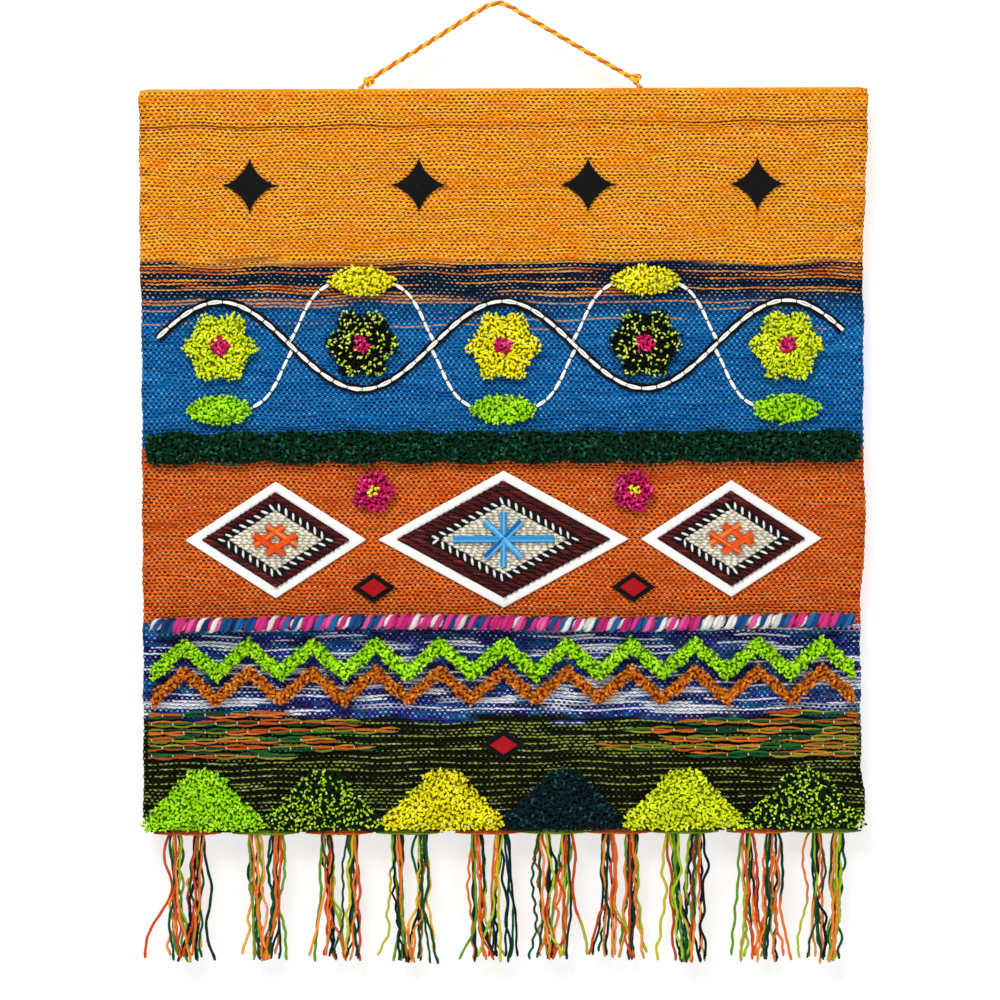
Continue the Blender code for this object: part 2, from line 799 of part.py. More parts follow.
def build_zigzags():
    """Two pile zigzags, one under the other, that run side by side across the cloth."""
    for name, drop, half, colour, seed in ZIGZAGS:
        stations = []
        count = ZIGZAG_PEAKS * 4
        for k in range(count + 1):
            u = -ZIGZAG_SIDE + 2 * ZIGZAG_SIDE * k / count
            swing = abs((k + 2) % 4 - 2) - 1
            stations.append((u, drop * MM - swing * ZIGZAG_SWING, half * MM))
        build_pile_strip(name, stations, colour, seed, 7, 0.9 * PILE_HEIGHT)


# Bottom border
BORDER_DROP = 507 * MM
BORDER_TALL = 42 * MM
BORDER_SIDE = 247 * MM
BORDER_DYES = (LIME, DARK_GREEN, YELLOW, TEAL, YELLOW_LIME, DARK_GREEN)


def build_border():
    """A row of pile triangles with rounded tops along the bottom edge."""
    count = len(BORDER_DYES)
    wide = 2 * BORDER_SIDE / count
    half = wide / 2 - 0.9 * MM
    for k, colour in enumerate(BORDER_DYES):
        u = -BORDER_SIDE + wide * (k + 0.5)
        middle = BORDER_DROP - 0.40 * BORDER_TALL
        outline = []
        for share in (-1, -0.5, 0, 0.5, 1):
            outline.append((share * half, 0.40 * BORDER_TALL))
        for share, lift in ((0.97, 0.22), (0.72, 0.44), (0.46, 0.70), (0.2, 0.94)):
            outline.append((share * half, (0.40 - lift) * BORDER_TALL))
        mirrored = [(-across, down) for across, down in reversed(outline[5:])]
        outline = outline + mirrored
        build_mound(f"border_{k + 1}", u, middle, outline, colour, 60 + k, 2, first=1)


# Small felt lozenges
FELT_PAIRS = (
    # middle, drop
    (-89, 342),
    (0, 450),
    (89, 342),
)
FELT_BLACK_HALF = (15 * MM, 10.5 * MM)
FELT_RED_HALF = (9.5 * MM, 6.5 * MM)


def build_felt():
    """Black stars near the top, and red lozenges on black ones above the border."""
    for k, place in enumerate(STAR_PLACES):
        outline = [star_outline(STAR_REACH)]
        add_flat(f"felt_star_{k + 1}", outline, place * MM, STAR_DROP, SEAT_GAP, FELT_THICK, BLACK)
    for k, (middle, drop) in enumerate(FELT_PAIRS):
        place = (middle * MM, drop * MM)
        black, red = [diamond(*FELT_BLACK_HALF)], [diamond(*FELT_RED_HALF)]
        upper = 2 * FELT_GAP + FELT_THICK
        add_flat(f"felt_black_{k + 1}", black, *place, FELT_GAP, FELT_THICK, BLACK)
        add_flat(f"felt_red_{k + 1}", red, *place, upper, FELT_THICK, RED_FELT)


for old in list(bpy.data.objects):
    bpy.data.objects.remove(old)
hanging = bpy.data.collections.new("wall_hanging")
bpy.context.scene.collection.children.link(hanging)

build_cloth()
build_hanger()
for number, (middle, left, right, length, colour) in enumerate(FRINGE_GROUPS, 1):
    build_fringe_group(number, middle * MM, (left * MM, right * MM), length * MM, colour)
build_felt()
build_vine()
build_flowers_and_leaves()
build_green_band()
build_lozenges()
build_blossoms()
build_garland()
build_zigzags()
build_border()
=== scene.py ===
import math

import bpy
import numpy as np
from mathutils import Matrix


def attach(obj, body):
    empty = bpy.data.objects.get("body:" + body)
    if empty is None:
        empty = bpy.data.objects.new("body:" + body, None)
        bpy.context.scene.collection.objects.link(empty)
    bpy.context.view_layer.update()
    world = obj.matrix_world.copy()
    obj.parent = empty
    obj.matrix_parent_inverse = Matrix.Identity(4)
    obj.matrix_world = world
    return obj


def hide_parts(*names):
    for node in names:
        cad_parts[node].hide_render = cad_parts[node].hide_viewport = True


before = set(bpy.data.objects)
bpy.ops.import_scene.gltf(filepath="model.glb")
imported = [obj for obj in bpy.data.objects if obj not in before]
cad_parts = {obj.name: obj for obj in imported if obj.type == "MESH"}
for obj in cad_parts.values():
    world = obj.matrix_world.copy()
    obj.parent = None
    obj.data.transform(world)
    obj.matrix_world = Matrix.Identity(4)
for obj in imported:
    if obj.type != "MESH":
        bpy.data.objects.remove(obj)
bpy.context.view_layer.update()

MM = 0.001
hanging = bpy.data.collections.new("wall_hanging_finish")
bpy.context.scene.collection.children.link(hanging)


# Camera. The hanging is seen straight on from the height of its middle, and the whole picture is
# 687 mm wide where the cloth hangs.
PICTURE_WIDE = 686.8 * MM
PICTURE_MIDDLE = (0.7 * MM, -341.3 * MM)
LENS = 85.0
SENSOR = 36.0
NEAREST_SEEN = 0.05

camera = bpy.data.objects.new("camera", bpy.data.cameras.new("camera"))
camera.data.lens = LENS
camera.data.sensor_width = SENSOR
camera.data.clip_start = NEAREST_SEEN
camera.location = (PICTURE_MIDDLE[0], -PICTURE_WIDE * LENS / SENSOR, PICTURE_MIDDLE[1])
camera.rotation_euler = (math.pi / 2, 0, 0)
bpy.context.scene.collection.objects.link(camera)
bpy.context.scene.camera = camera


# Hanger cord. Two plies of orange yarn twisted together, bent once at the top where the hanging is
# hung up, and tied at both ends in an overhand knot with a frayed tail, on the cloth's top edge.
FRONT = (0.0, -1.0, 0.0)
CORD_THICK = 3.5 * MM
CORD_PLY = 0.36 * CORD_THICK
CORD_APART = 0.19
CORD_PITCH = 10.5 * MM
CORD_STRAND_PITCH = -4.2 * MM
CORD_STEP = 0.7 * MM
CORD_ROUTE = (
    # across, down from the bend
    (-88.6, 52.3), (-64.0, 36.9), (-38.0, 20.6), (-19.0, 8.5), (-9.5, 2.8), (-4.0, 0.6), (0.0, 0.0),
    (4.2, 0.8), (9.8, 3.6), (20.0, 9.9), (40.0, 21.6), (66.0, 36.8), (90.0, 50.6),
)
KNOT_THICK = 3.2 * MM
KNOT_PLY = 0.28 * KNOT_THICK
KNOT_ROUND, KNOT_CROSSING, KNOT_DEEP = 0.95, 1.85, 1.3
KNOT_BESIDE, KNOT_ABOVE = 1.5, 1.2
KNOTS = (
    # side, way out, end of the route, across, down, tail across, tail down
    ("left", -1, 0, -92.2, 55.0, -95.0, 58.6),
    ("right", 1, -1, 93.8, 53.0, 96.8, 57.9),
)
TAIL_HAIRS = 9
TAIL_HAIR = 0.58 * MM
TAIL_STRAY = (1.8, 1.2, 0.5)
# The second ply is a deeper orange: in part the yarn's own dye, in part painted shade standing in for the
# shade on the cord's underside.
CORD_DYES = ((255, 196, 58), (222, 116, 14))


def dyed(colours):
    """A yarn's colours as seen by eye, as the light that they give back."""
    seen = np.array(colours) / 255
    return np.where(seen < 0.0405, seen / 12.92, ((seen + 0.055) / 1.055) ** 2.4)


def smooth_route(route, step):
    """Points a step apart on the smooth curve through a route's own points."""
    route = np.array(route, float)
    ends = np.vstack([2 * route[0] - route[1], route, 2 * route[-1] - route[-2]])
    a, b, c, d = (ends[k:len(ends) - 3 + k, None] for k in range(4))
    t = np.linspace(0, 1, 20, endpoint=False)[None, :, None]
    bend = (2 * a - 5 * b + 4 * c - d) * t ** 2 + (3 * b - a - 3 * c + d) * t ** 3
    curve = 0.5 * (2 * b + (c - a) * t + bend)
    curve = np.vstack([curve.reshape(-1, route.shape[1]), route[-1:]])
    run = np.r_[0, np.cumsum(np.linalg.norm(np.diff(curve, axis=0), axis=1))]
    wanted = np.linspace(0, run[-1], max(2, round(run[-1] / step)) + 1)
    return np.stack([np.interp(wanted, run, curve[:, k]) for k in range(route.shape[1])], axis=1)


def unit(ways):
    """Directions drawn to a length of one."""
    return ways / np.maximum(np.linalg.norm(ways, axis=-1, keepdims=True), 1e-9)


def runs_of(paths):
    """How far along its path each point of many paths lies."""
    steps = np.linalg.norm(np.diff(paths, axis=1), axis=2)
    return np.concatenate([np.zeros((len(paths), 1)), np.cumsum(steps, axis=1)], axis=1)


def sides_of(paths, facing=FRONT):
    """The directions across each path, and out of it towards the way it faces."""
    along = unit(np.gradient(paths, axis=1))
    across = unit(np.cross(along, np.broadcast_to(facing, along.shape)))
    return across, np.cross(across, along)


def walled(rings, inside_out=False):
    """Closed rings set side by side: their points, the points' numbers and the walls between."""
    rings = np.asarray(rings)
    index = np.arange(rings.size // 3).reshape(rings.shape[:-1])
    onward = np.roll(index, -1, axis=-1)
    corners = [index[..., :-1, :], index[..., 1:, :], onward[..., 1:, :], onward[..., :-1, :]]
    if inside_out:
        corners = [corners[k] for k in (0, 3, 2, 1)]
    return rings.reshape(-1, 3), index, np.stack(corners, axis=-1).reshape(-1, 4)


def spun(paths, radius, dyes, sides=6, facing=FRONT, plies=0, lobe=0.0, pitch=1.0, phase=0.0):
    """Closed yarns along many paths at once, with their dyes. A lobed yarn shows its twisted plies.

    paths is (yarns, points, 3). dyes is one colour, or one for each yarn, or (yarns, points or 1,
    sides or 1, 3).
    """
    count, steps = paths.shape[:2]
    across, out = sides_of(paths, facing)
    run = runs_of(paths)[:, :, None]
    spread = 2 * np.pi * np.arange(sides) / sides
    turn = spread + 2 * np.pi * run / pitch + np.reshape(phase, (-1, 1, 1))
    reach = np.reshape(np.broadcast_to(radius, (count, steps)), (count, steps, 1))
    reach = reach * (1 - lobe + lobe * np.cos(plies * spread))
    side, up = (reach * np.cos(turn))[..., None], (reach * np.sin(turn))[..., None]
    rings = paths[:, :, None] + across[:, :, None] * side + out[:, :, None] * up
    if np.ndim(dyes) < 3:
        dyes = np.reshape(dyes, (-1, 1, 1, 3))
    tint = np.broadcast_to(dyes, rings.shape).reshape(-1, 3)
    along = 0.35 * run / MM + 7.1 * np.arange(count)[:, None, None]
    fibre = np.stack(np.broadcast_arrays(np.cos(spread), np.sin(spread), along), axis=-1)
    points, index, walls = walled(rings)
    return points, [walls, index[:, 0], index[:, -1, ::-1]], tint, fibre.reshape(-1, 3)


def paint(mesh, key, colours, fourth):
    """Keeps a colour and a fourth value at each point of a mesh."""
    layer = mesh.color_attributes.new(key, "FLOAT_COLOR", "POINT")
    layer.data.foreach_set("color", np.c_[colours, fourth].astype(np.float32).ravel())


def mesh_from(name, parts):
    """One mesh of several parts, each (points, faces, dyes, fibre direction)."""
    starts = np.cumsum([0] + [len(part[0]) for part in parts])
    points, colours, fibres = (np.concatenate([part[k] for part in parts]) for k in (0, 2, 3))
    faces = [face + start for part, start in zip(parts, starts) for face in part[1]]
    corners = np.concatenate([face.ravel() for face in faces])
    sizes = np.concatenate([np.full(len(face), face.shape[1]) for face in faces])
    mesh = bpy.data.meshes.new(name)
    mesh.vertices.add(starts[-1])
    mesh.vertices.foreach_set("co", points.astype(np.float32).ravel())
    mesh.loops.add(len(corners))
    mesh.loops.foreach_set("vertex_index", corners.astype(np.int32))
    mesh.polygons.add(len(sizes))
    mesh.polygons.foreach_set("loop_start", np.r_[0, np.cumsum(sizes)[:-1]].astype(np.int32))
    mesh.update(calc_edges=True)
    paint(mesh, "dye", colours, np.ones(len(colours)))
    fibre = mesh.attributes.new("fibre", "FLOAT_VECTOR", "POINT")
    fibre.data.foreach_set("vector", fibres.astype(np.float32).ravel())
    mesh.shade_smooth()
    return mesh


def add_piece(name, made, finish, nodes=()):
    """Hangs a finished piece, a mesh or a list of its parts, in place of its plain nodes."""
    mesh = mesh_from(name, made) if isinstance(made, list) else made
    piece = bpy.data.objects.new(name, mesh)
    mesh.materials.append(finish)
    hanging.objects.link(piece)
    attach(piece, "root")
    if nodes:
        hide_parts(*nodes)
    return piece


def add_node(tree, kind, settings=(), **inputs):
    """A shader node with its inputs set or joined, and its outputs given back."""
    made = tree.nodes.new("ShaderNode" + kind)
    for key, value in dict(settings).items():
        setattr(made, key, value)
    for key, value in inputs.items():
        numbered = key[0] == "i" and key[1:].isdigit()
        socket = made.inputs[int(key[1:]) if numbered else key.replace("_", " ")]
        if isinstance(value, bpy.types.NodeSocket):
            tree.links.new(value, socket)
        else:
            socket.default_value = value
    return made.outputs


def moved(tree, operation, first, **inputs):
    """A colour or a place after one sum on all three of its values."""
    return add_node(tree, "VectorMath", {"operation": operation}, i0=first, **inputs)[0]


def ranged(tree, value, low, high, least, most, kind="LINEAR"):
    """A value drawn from the range low to high to the range least to most."""
    settings = {"interpolation_type": kind}
    return add_node(tree, "MapRange", settings, Value=value, i1=low, i2=high, i3=least, i4=most)[0]


def stored(tree, key):
    """What a mesh keeps at its points under a key."""
    return add_node(tree, "Attribute", {"attribute_name": key})


def plain_finish(name, **looks):
    """A new material with its shader's looks set, and its node tree."""
    material = bpy.data.materials.new(name)
    material.use_nodes = True
    for socket, value in looks.items():
        material.node_tree.nodes["Principled BSDF"].inputs[socket.replace("_", " ")].default_value = value
    return material, material.node_tree


def surfaced(material, colour, strength, depth, height):
    """A material with its colour and its fine relief joined on."""
    tree = material.node_tree
    shader = tree.nodes["Principled BSDF"]
    tree.links.new(colour, shader.inputs["Base Color"])
    relief = add_node(tree, "Bump", Strength=strength, Distance=depth, Height=height)[0]
    tree.links.new(relief, shader.inputs["Normal"])
    return material


def wool(name, roughness=0.95, sheen=0.25, streak=0.35, relief=0.25, grain=1.6):
    """Dyed wool: its dye, streaked along the fibres, with their fine ridges and a soft bloom."""
    material, tree = plain_finish(
        name, Roughness=roughness, Specular_IOR_Level=0.12, Sheen_Weight=sheen, Sheen_Roughness=0.5,
    )
    dye, fibre = stored(tree, "dye")["Color"], stored(tree, "fibre")["Vector"]
    strands = add_node(tree, "TexNoise", Vector=fibre, Scale=grain, Detail=3.0, Roughness=0.6)[0]
    shade = ranged(tree, strands, 0.3, 0.7, 1 - streak, 1 + 0.4 * streak)
    return surfaced(material, moved(tree, "SCALE", dye, Scale=shade), relief, 0.4 * MM, strands)


def twisted_plies(line, thick, pitch, plies, apart=0.24):
    """The middle lines of plies that turn round one another along a line."""
    paths = np.repeat(line[None], plies, axis=0)
    across, out = sides_of(paths)
    turn = 2 * np.pi * (runs_of(paths) / pitch + np.arange(plies)[:, None] / plies)
    return paths + thick * apart * (across * np.cos(turn)[..., None] + out * np.sin(turn)[..., None])


hanger_wool = wool("twisted orange yarn", sheen=0.1, streak=0.28)
cord_dyes = dyed(CORD_DYES)
cord_route = [(x * MM, 0.0, -down * MM) for x, down in CORD_ROUTE]
cord_line = smooth_route(cord_route, CORD_STEP)
cord_plies = twisted_plies(cord_line, CORD_THICK, CORD_PITCH, 2, CORD_APART)
cord_parts = [spun(cord_plies, CORD_PLY, cord_dyes, 9, plies=3, lobe=0.06, pitch=CORD_STRAND_PITCH)]
cord = add_piece("twisted_cord", cord_parts, hanger_wool, ["hanger_cord"])

for seed, (side, out_way, last, x, down, tail_x, tail_down) in enumerate(KNOTS, 3):
    draw = np.random.default_rng(seed)
    t = np.linspace(0, 2 * np.pi, 70)
    middle = x + KNOT_BESIDE - out_way * KNOT_BESIDE
    loop = np.stack([
        middle + out_way * (KNOT_ROUND * np.sin(t) + KNOT_CROSSING * np.sin(2 * t)),
        -KNOT_DEEP * np.sin(3 * t),
        -down + KNOT_ABOVE + KNOT_ROUND * np.cos(t) - KNOT_CROSSING * np.cos(2 * t),
    ], axis=1) * MM
    joint = smooth_route([cord_route[last], (x * MM, 0, -down * MM)], CORD_STEP)
    parts = [
        spun(twisted_plies(loop, KNOT_THICK, CORD_PITCH, 2), KNOT_PLY, cord_dyes, 8),
        spun(twisted_plies(joint, CORD_THICK, CORD_PITCH, 2), CORD_PLY, cord_dyes, 8),
    ]
    start, end = np.array((x, 0.0, -down)), np.array((tail_x, 0.0, -tail_down))
    for k in range(TAIL_HAIRS):
        stray = draw.uniform(-1, 1, 3) * TAIL_STRAY
        hair = smooth_route([start, (start + end) / 2 + stray * 0.4, end + stray], 0.8)
        parts.append(spun(hair[None] * MM, TAIL_HAIR, cord_dyes[k % 2], 5))
    add_piece(f"tied_knot_{side}", parts, hanger_wool, [f"hanger_knot_{side}"])


# Cloth. One panel woven in plain weave with a weft so thick that it hides the warp, in bands of dyed
# wool that run into one another in streaks. Its top is folded back and sewn down as a hem.
CLOTH_WIDTH = 500 * MM
CLOTH_DROP = 508 * MM
CLOTH_THICK = 2.4 * MM
CLOTH_MIDDLE = 3.1 * MM
CLOTH_TOP = -59.2 * MM
TOP_TILT = 0.0034
FACE_Y = -2.4 * MM
HEM_DROP = 23 * MM
SELVEDGE_WAVE = 0.35 * MM
SELVEDGE_PITCH = 41 * MM
SEWN_GAP = 0.45 * MM
ENDS = 264
PICKS = 222
BEAD_RELIEF = 0.30 * MM
ROUND_CORNER = 9 * MM
CORNER_PULL = 0.42 * ROUND_CORNER
TOP_CORNER = 6 * MM
TOP_CORNER_PULL = (1.3 * MM, 1.0 * MM)
FACE_SUNK = 0.1 * MM
PICK_WANDER = 1.1
PICK_ROLL = 0.55
PICK_ROLLS = (
    # size, waves across, wavelength down in metres, phase
    (1.0, 5.3, 0.071, 0.0), (0.7, 9.1, -0.113, 0.3),
)
SELVEDGE_BEADS = (0.40, -0.15)
SELVEDGE_UNEVEN = 0.7
DRAWN_IN = np.array((
    # drop, left side, right side
    (0, 0.0, 0.0), (42, 1.0, 1.4), (118, 1.2, 4.6), (158, 2.4, 3.6), (248, 2.9, 3.9),
    (302, 3.0, 1.8), (354, 3.6, 6.0), (467, 4.0, 5.4), (484, 3.6, 2.8), (508, 3.8, 2.6),
)) * MM
HANGING_WAVES = (
    # depth, wavelength across, wavelength down, phase
    (0.70, 330, 900, 0.4), (0.45, 170, -420, 2.1), (0.12, 96, 250, 4.0),
)
EDGE_TURN = np.array((
    # share of the thickness, how far the weft stands out of the side
    (0, 0), (0.22, 0.45), (0.50, 0.70), (0.80, 0.45), (1.00, -0.30),
))

# Each band's colours are its yarn's dye, a darker copy of it for the gaps between its beads, which is
# painted shade, and a lighter one for their tips, which is a painted highlight, save in the olive, whose
# tips are its lime yarn. Drops are in mm.
OCHRE = ((255, 182, 50), (150, 40, 0), (255, 216, 112))
RUST = ((238, 118, 42), (124, 16, 0), (255, 178, 106))
BLUE = ((6, 88, 158), (0, 26, 78), (110, 196, 240))
OLIVE = ((20, 26, 8), (6, 9, 4), (150, 168, 66))
WATER = ((24, 70, 150), (6, 12, 70), (214, 224, 244))
# Each band's second yarn, which it runs into in streaks, and a deeper painted shade that its gaps take in
# some rows.
OCHRE_OTHER = ((244, 136, 14), (96, 18, 0))
RUST_OTHER = ((202, 78, 18), (80, 8, 0))
BLUE_OTHER = (22, 112, 178)
OLIVE_PALE = (214, 220, 168)
WATER_DYES = ((2, 6, 44), (12, 40, 140), (2, 16, 76), (2, 88, 136), (8, 26, 112), (32, 14, 76))
WHITE_LINE = (244, 246, 252)
DUSK_DROP, DUSK_FOOT, DUSK_END = 117.5, 140, 168
DUSK_DYES = ((8, 26, 40), (176, 178, 160))
DUSK_THREADS = ((255, 178, 72), (214, 96, 32), (214, 160, 110))
DUSK_FADES = (117, 124, 142, 168), (0.25, 0.42, 0.66, 0.92)
RUST_DROP, WATER_DROP, OLIVE_DROP = 246, 366, 432
# The hem's foot, where its sewn line presses a groove into the face: how deep and wide the groove is, and a
# dark line painted along it as the groove's painted shade.
HEM_FOOT = 25.4
HEM_FOOT_TILT = 2.6
HEM_FOOT_DEEP = 0.6 * MM
HEM_FOOT_WIDE = 1.4
HEM_FOOT_PAINTED_SHADE = (110, 36, 0)
HEM_FOOT_STRENGTH = (0, 0.3, 0.6, 0.85, 1), (1.0, 0.7, 0.35, 0.7, 1.0)


def side_of(drop, column):
    """How far out from the middle the left (1) or right (2) selvedge runs."""
    wave = SELVEDGE_WAVE * np.sin(2 * np.pi * drop / SELVEDGE_PITCH + column)
    return CLOTH_WIDTH / 2 - np.interp(drop, DRAWN_IN[:, 0], DRAWN_IN[:, column]) + wave


def within_sides(share, drop, back=0.0):
    """A share of the way across at a drop, with the lower corners rounded, as (u, drop)."""
    left, right = -side_of(drop, 1) + back, side_of(drop, 2) - back
    u = left + (right - left) * share
    from_side = np.minimum(share, 1 - share) * CLOTH_WIDTH
    corner = np.clip(1 - from_side / ROUND_CORNER, 0, 1)
    pull = corner * np.clip(1 - (CLOTH_DROP - drop) / ROUND_CORNER, 0, 1) * CORNER_PULL
    return u - np.sign(u) * pull, drop - pull


def unevenness(u, drop):
    """How far the face stands behind its flat place: slow waves that start below the hem."""
    deep = 0.0
    for depth, across, down, phase in HANGING_WAVES:
        deep = deep + depth * MM * np.sin(2 * np.pi * (u / (across * MM) + drop / (down * MM)) + phase)
    return np.clip(drop / (3 * HEM_DROP), 0, 1) * deep


def on_cloth(u, drop, proud=0.0):
    """Points u to the right of the cloth's middle, drop below its top edge, proud of its face."""
    u, drop, proud = np.broadcast_arrays(u, drop, proud)
    down = CLOTH_TOP + TOP_TILT * u - drop
    return np.stack([CLOTH_MIDDLE + u, FACE_Y + unevenness(u, drop) - proud, down], axis=-1)


def streaks(seed, ends, picks, length, rows=1):
    """Values from 0 to 1 that run on along a pick and change from one pick to the next."""
    draw = np.random.default_rng(seed)
    knots = draw.random((PICKS // rows + 40, ENDS // length + 8))
    row = np.clip(picks / rows + 4, 0, len(knots) - 1).astype(int)
    place = (ends + 12) / length + draw.random(len(knots))[row]
    left = np.clip(place.astype(int), 0, knots.shape[1] - 2)
    share = place - left
    share = share * share * (3 - 2 * share)
    return knots[row, left] * (1 - share) + knots[row, left + 1] * share


def mixed(first, second, share):
    """Two colours, or lists of colours, mixed by a share."""
    share = np.clip(np.asarray(share, float), 0, 1)[..., None]
    return np.asarray(first) * (1 - share) + np.asarray(second) * share


def ground_of(ends, picks, drop):
    """The colours of the weave at each warp end and pick: the yarn's dye, its gaps darkened as painted
    shade and its tips lightened as painted highlights, with the real lime, white and dusk threads and the
    hem foot's painted shade laid on the tips.

    Gives three lists of colours, then the gaps' size and the tips' strength.
    """
    def streaked(seed, length):
        return streaks(seed, ends, picks, length)

    def showing(seed, length, above, steep, least=0.0, most=1.0):
        return np.clip((streaked(seed, length) - above) * steep, least, most)

    slow, quick, patch, tongue = (streaked(*kind) for kind in ((11, 34), (12, 9), (13, 60), (22, 22)))
    down = drop / MM
    row = np.round(picks).astype(int)
    dash = (ends + row + 1) / 2 + 20
    table = np.random.default_rng(14).random((PICKS + 40, ENDS + PICKS + 80))
    beads = [np.clip(side(dash), 0, ENDS + PICKS).astype(int) for side in (np.floor, np.ceil)]
    each = sum(table[row + 20, bead] for bead in beads) / 2

    ochre, blue, rust, olive, water = (list(dyed(dyes)) for dyes in (OCHRE, BLUE, RUST, OLIVE, WATER))
    # Deeper painted shade in the gaps of some rows, where the dashes merge into dark lines.
    deep = 0.9 * each + 0.7 * slow - 0.3
    for band, (other_yarn, other_gap) in ((ochre, OCHRE_OTHER), (rust, RUST_OTHER)):
        band[1] = mixed(band[1], dyed(other_gap), deep)
        band[0] = mixed(band[0], dyed(other_yarn), quick * 1.3 - 0.15)
    blue[0] = mixed(blue[0], dyed(BLUE_OTHER), slow)
    pool = dyed(WATER_DYES)
    depth = np.clip(streaked(15, 14) * 1.3 - 0.15, 0, 0.999) * (len(pool) - 1)
    shallow = depth.astype(int)
    water[1] = mixed(pool[shallow], pool[shallow + 1], depth - shallow) * (0.6 + 0.8 * each[..., None])
    white = showing(16, 30, 0.84, 8) * (down < OLIVE_DROP - 5)
    water[0] = mixed(water[1] * 1.4 + 0.01, dyed(WHITE_LINE), np.maximum(white, 0.02 * quick))
    lime = showing(17, 24, 0.05, 4, 0.35, 1.15) * (row % 2 == 0)
    lime = np.maximum(lime, showing(19, 20, 0.74, 6, most=0.9))
    olive[2] = mixed(olive[2], dyed(OLIVE_PALE), each * 4 - 3)

    nightfall = down + (slow - 0.5) * 5 - DUSK_DROP
    dusk, dusk_tip = dyed(DUSK_DYES)
    dusk = mixed(dusk, blue[0], (down - DUSK_FOOT) / 18)
    dusk_tip = mixed(mixed(ochre[2], dusk_tip, nightfall), blue[2], (down - DUSK_FOOT) / 12)
    glow = streaked(20, 44) - np.interp(down, *DUSK_FADES)
    glow = np.clip(glow * 9 + 0.5, 0, 1) * (nightfall > 0) * (down < DUSK_END)
    light, middle, pale = dyed(DUSK_THREADS)
    thread = mixed(mixed(light, middle, quick * 1.6 - 0.3), pale, (down - 136) / 20)
    dyes = [
        mixed(ochre[0], dusk, nightfall), mixed(ochre[1], blue[1], nightfall),
        mixed(dusk_tip, thread, glow * 3),
    ]
    for place, other, wander, length in (
        (RUST_DROP, rust, 4, quick), (WATER_DROP, water, 8, slow), (OLIVE_DROP, olive, 8, tongue),
    ):
        passed = (down + (length - 0.5) * wander - place) / 0.8
        dyes = [mixed(above, below, passed) for above, below in zip(dyes, other)]

    is_blue = (nightfall > 0) * (down < RUST_DROP + 2)
    is_water = (down > WATER_DROP) * 1.0
    is_olive = (down > OLIVE_DROP) * 1.0
    strength = np.interp(ends / ENDS, *HEM_FOOT_STRENGTH)
    # Along the hem's foot a dark line of painted shade is laid into the tips, and the gaps just below it
    # spread, which is more painted shade.
    from_foot = down - HEM_FOOT + HEM_FOOT_TILT * ends / ENDS
    foot_shade = np.exp(-(from_foot / 1.2) ** 2) * strength
    below = np.exp(-((from_foot - 1.6) / 3.2) ** 2) * strength
    rim = np.clip(3.2 - np.minimum(ends, ENDS - ends), 0, 1)
    knotty = rim * (table[row + 20, 5 + (ends > 9)] - 0.4)
    line = showing(24, 22, 0.56, 9) * (down > WATER_DROP + 1) * (down < OLIVE_DROP - 2)
    # The gaps' painted shade is left off the top pick, so the fold's top reads lighter, and spreads at the
    # hem's foot and just below it.
    size = 0.46 + 0.56 * (quick - 0.5) + 0.04 * is_blue - 0.40 * is_water * (1 - is_olive)
    size = size - 0.22 * is_olive - 0.5 * foot_shade - 0.3 * below
    size = size - 0.6 * knotty + 1.2 * np.clip(1.2 - picks, 0, 1)
    # How strongly the tips' colour shows: a painted highlight on the beads, the real white and lime threads
    # and dusk threads where they run, and the hem foot's painted shade.
    tips = 0.50 - 0.04 * is_blue - 0.04 * is_water
    tips = tips * np.clip(each * 1.8 - 0.3 * is_water, 0.3 - 0.2 * is_water, 1.1)
    tips = np.where(is_olive > 0, lime * np.clip(each * 2.4, 0.6, 1.1), tips)
    tips = np.maximum(tips, np.maximum(1.35 * np.maximum(glow, foot_shade), 1.7 * line))
    # The white lines go onto the tips, and along the hem's foot its painted shade.
    dyes[2] = mixed(mixed(dyes[2], dyed(WHITE_LINE), line * 2), dyed(HEM_FOOT_PAINTED_SHADE), foot_shade * 2)
    shade = (0.99 + 0.14 * patch - 0.35 * knotty)[..., None]
    return dyes[0] * shade, dyes[1] * shade, dyes[2], size, tips


def woven_grid(name, ends, picks, points):
    """A mesh over a grid of warp ends and picks, with the weave's places and colours on it, painted shade
    in the gaps and painted highlights on the tips among them.
    """
    index = np.arange(ends.size).reshape(ends.shape)
    faces = np.stack([index[:-1, :-1], index[1:, :-1], index[1:, 1:], index[:-1, 1:]], axis=-1)
    drop = np.clip(picks / PICKS, 0, 1) * CLOTH_DROP
    yarn, shaded_gap, tip, size, tips = ground_of(ends, picks, drop)
    place = np.stack([ends, picks, 0 * ends], axis=-1).reshape(-1, 3)
    mesh = mesh_from(name, [(points.reshape(-1, 3), [faces.reshape(-1, 4)], yarn.reshape(-1, 3), place)])
    paint(mesh, "shaded_gap", shaded_gap.reshape(-1, 3), size.ravel())
    paint(mesh, "tip", tip.reshape(-1, 3), tips.ravel())
    return mesh


def figure(tree, operation, first, second=0.0, third=0.0):
    """The result of one sum."""
    return add_node(tree, "Math", {"operation": operation}, i0=first, i1=second, i2=third)[0]


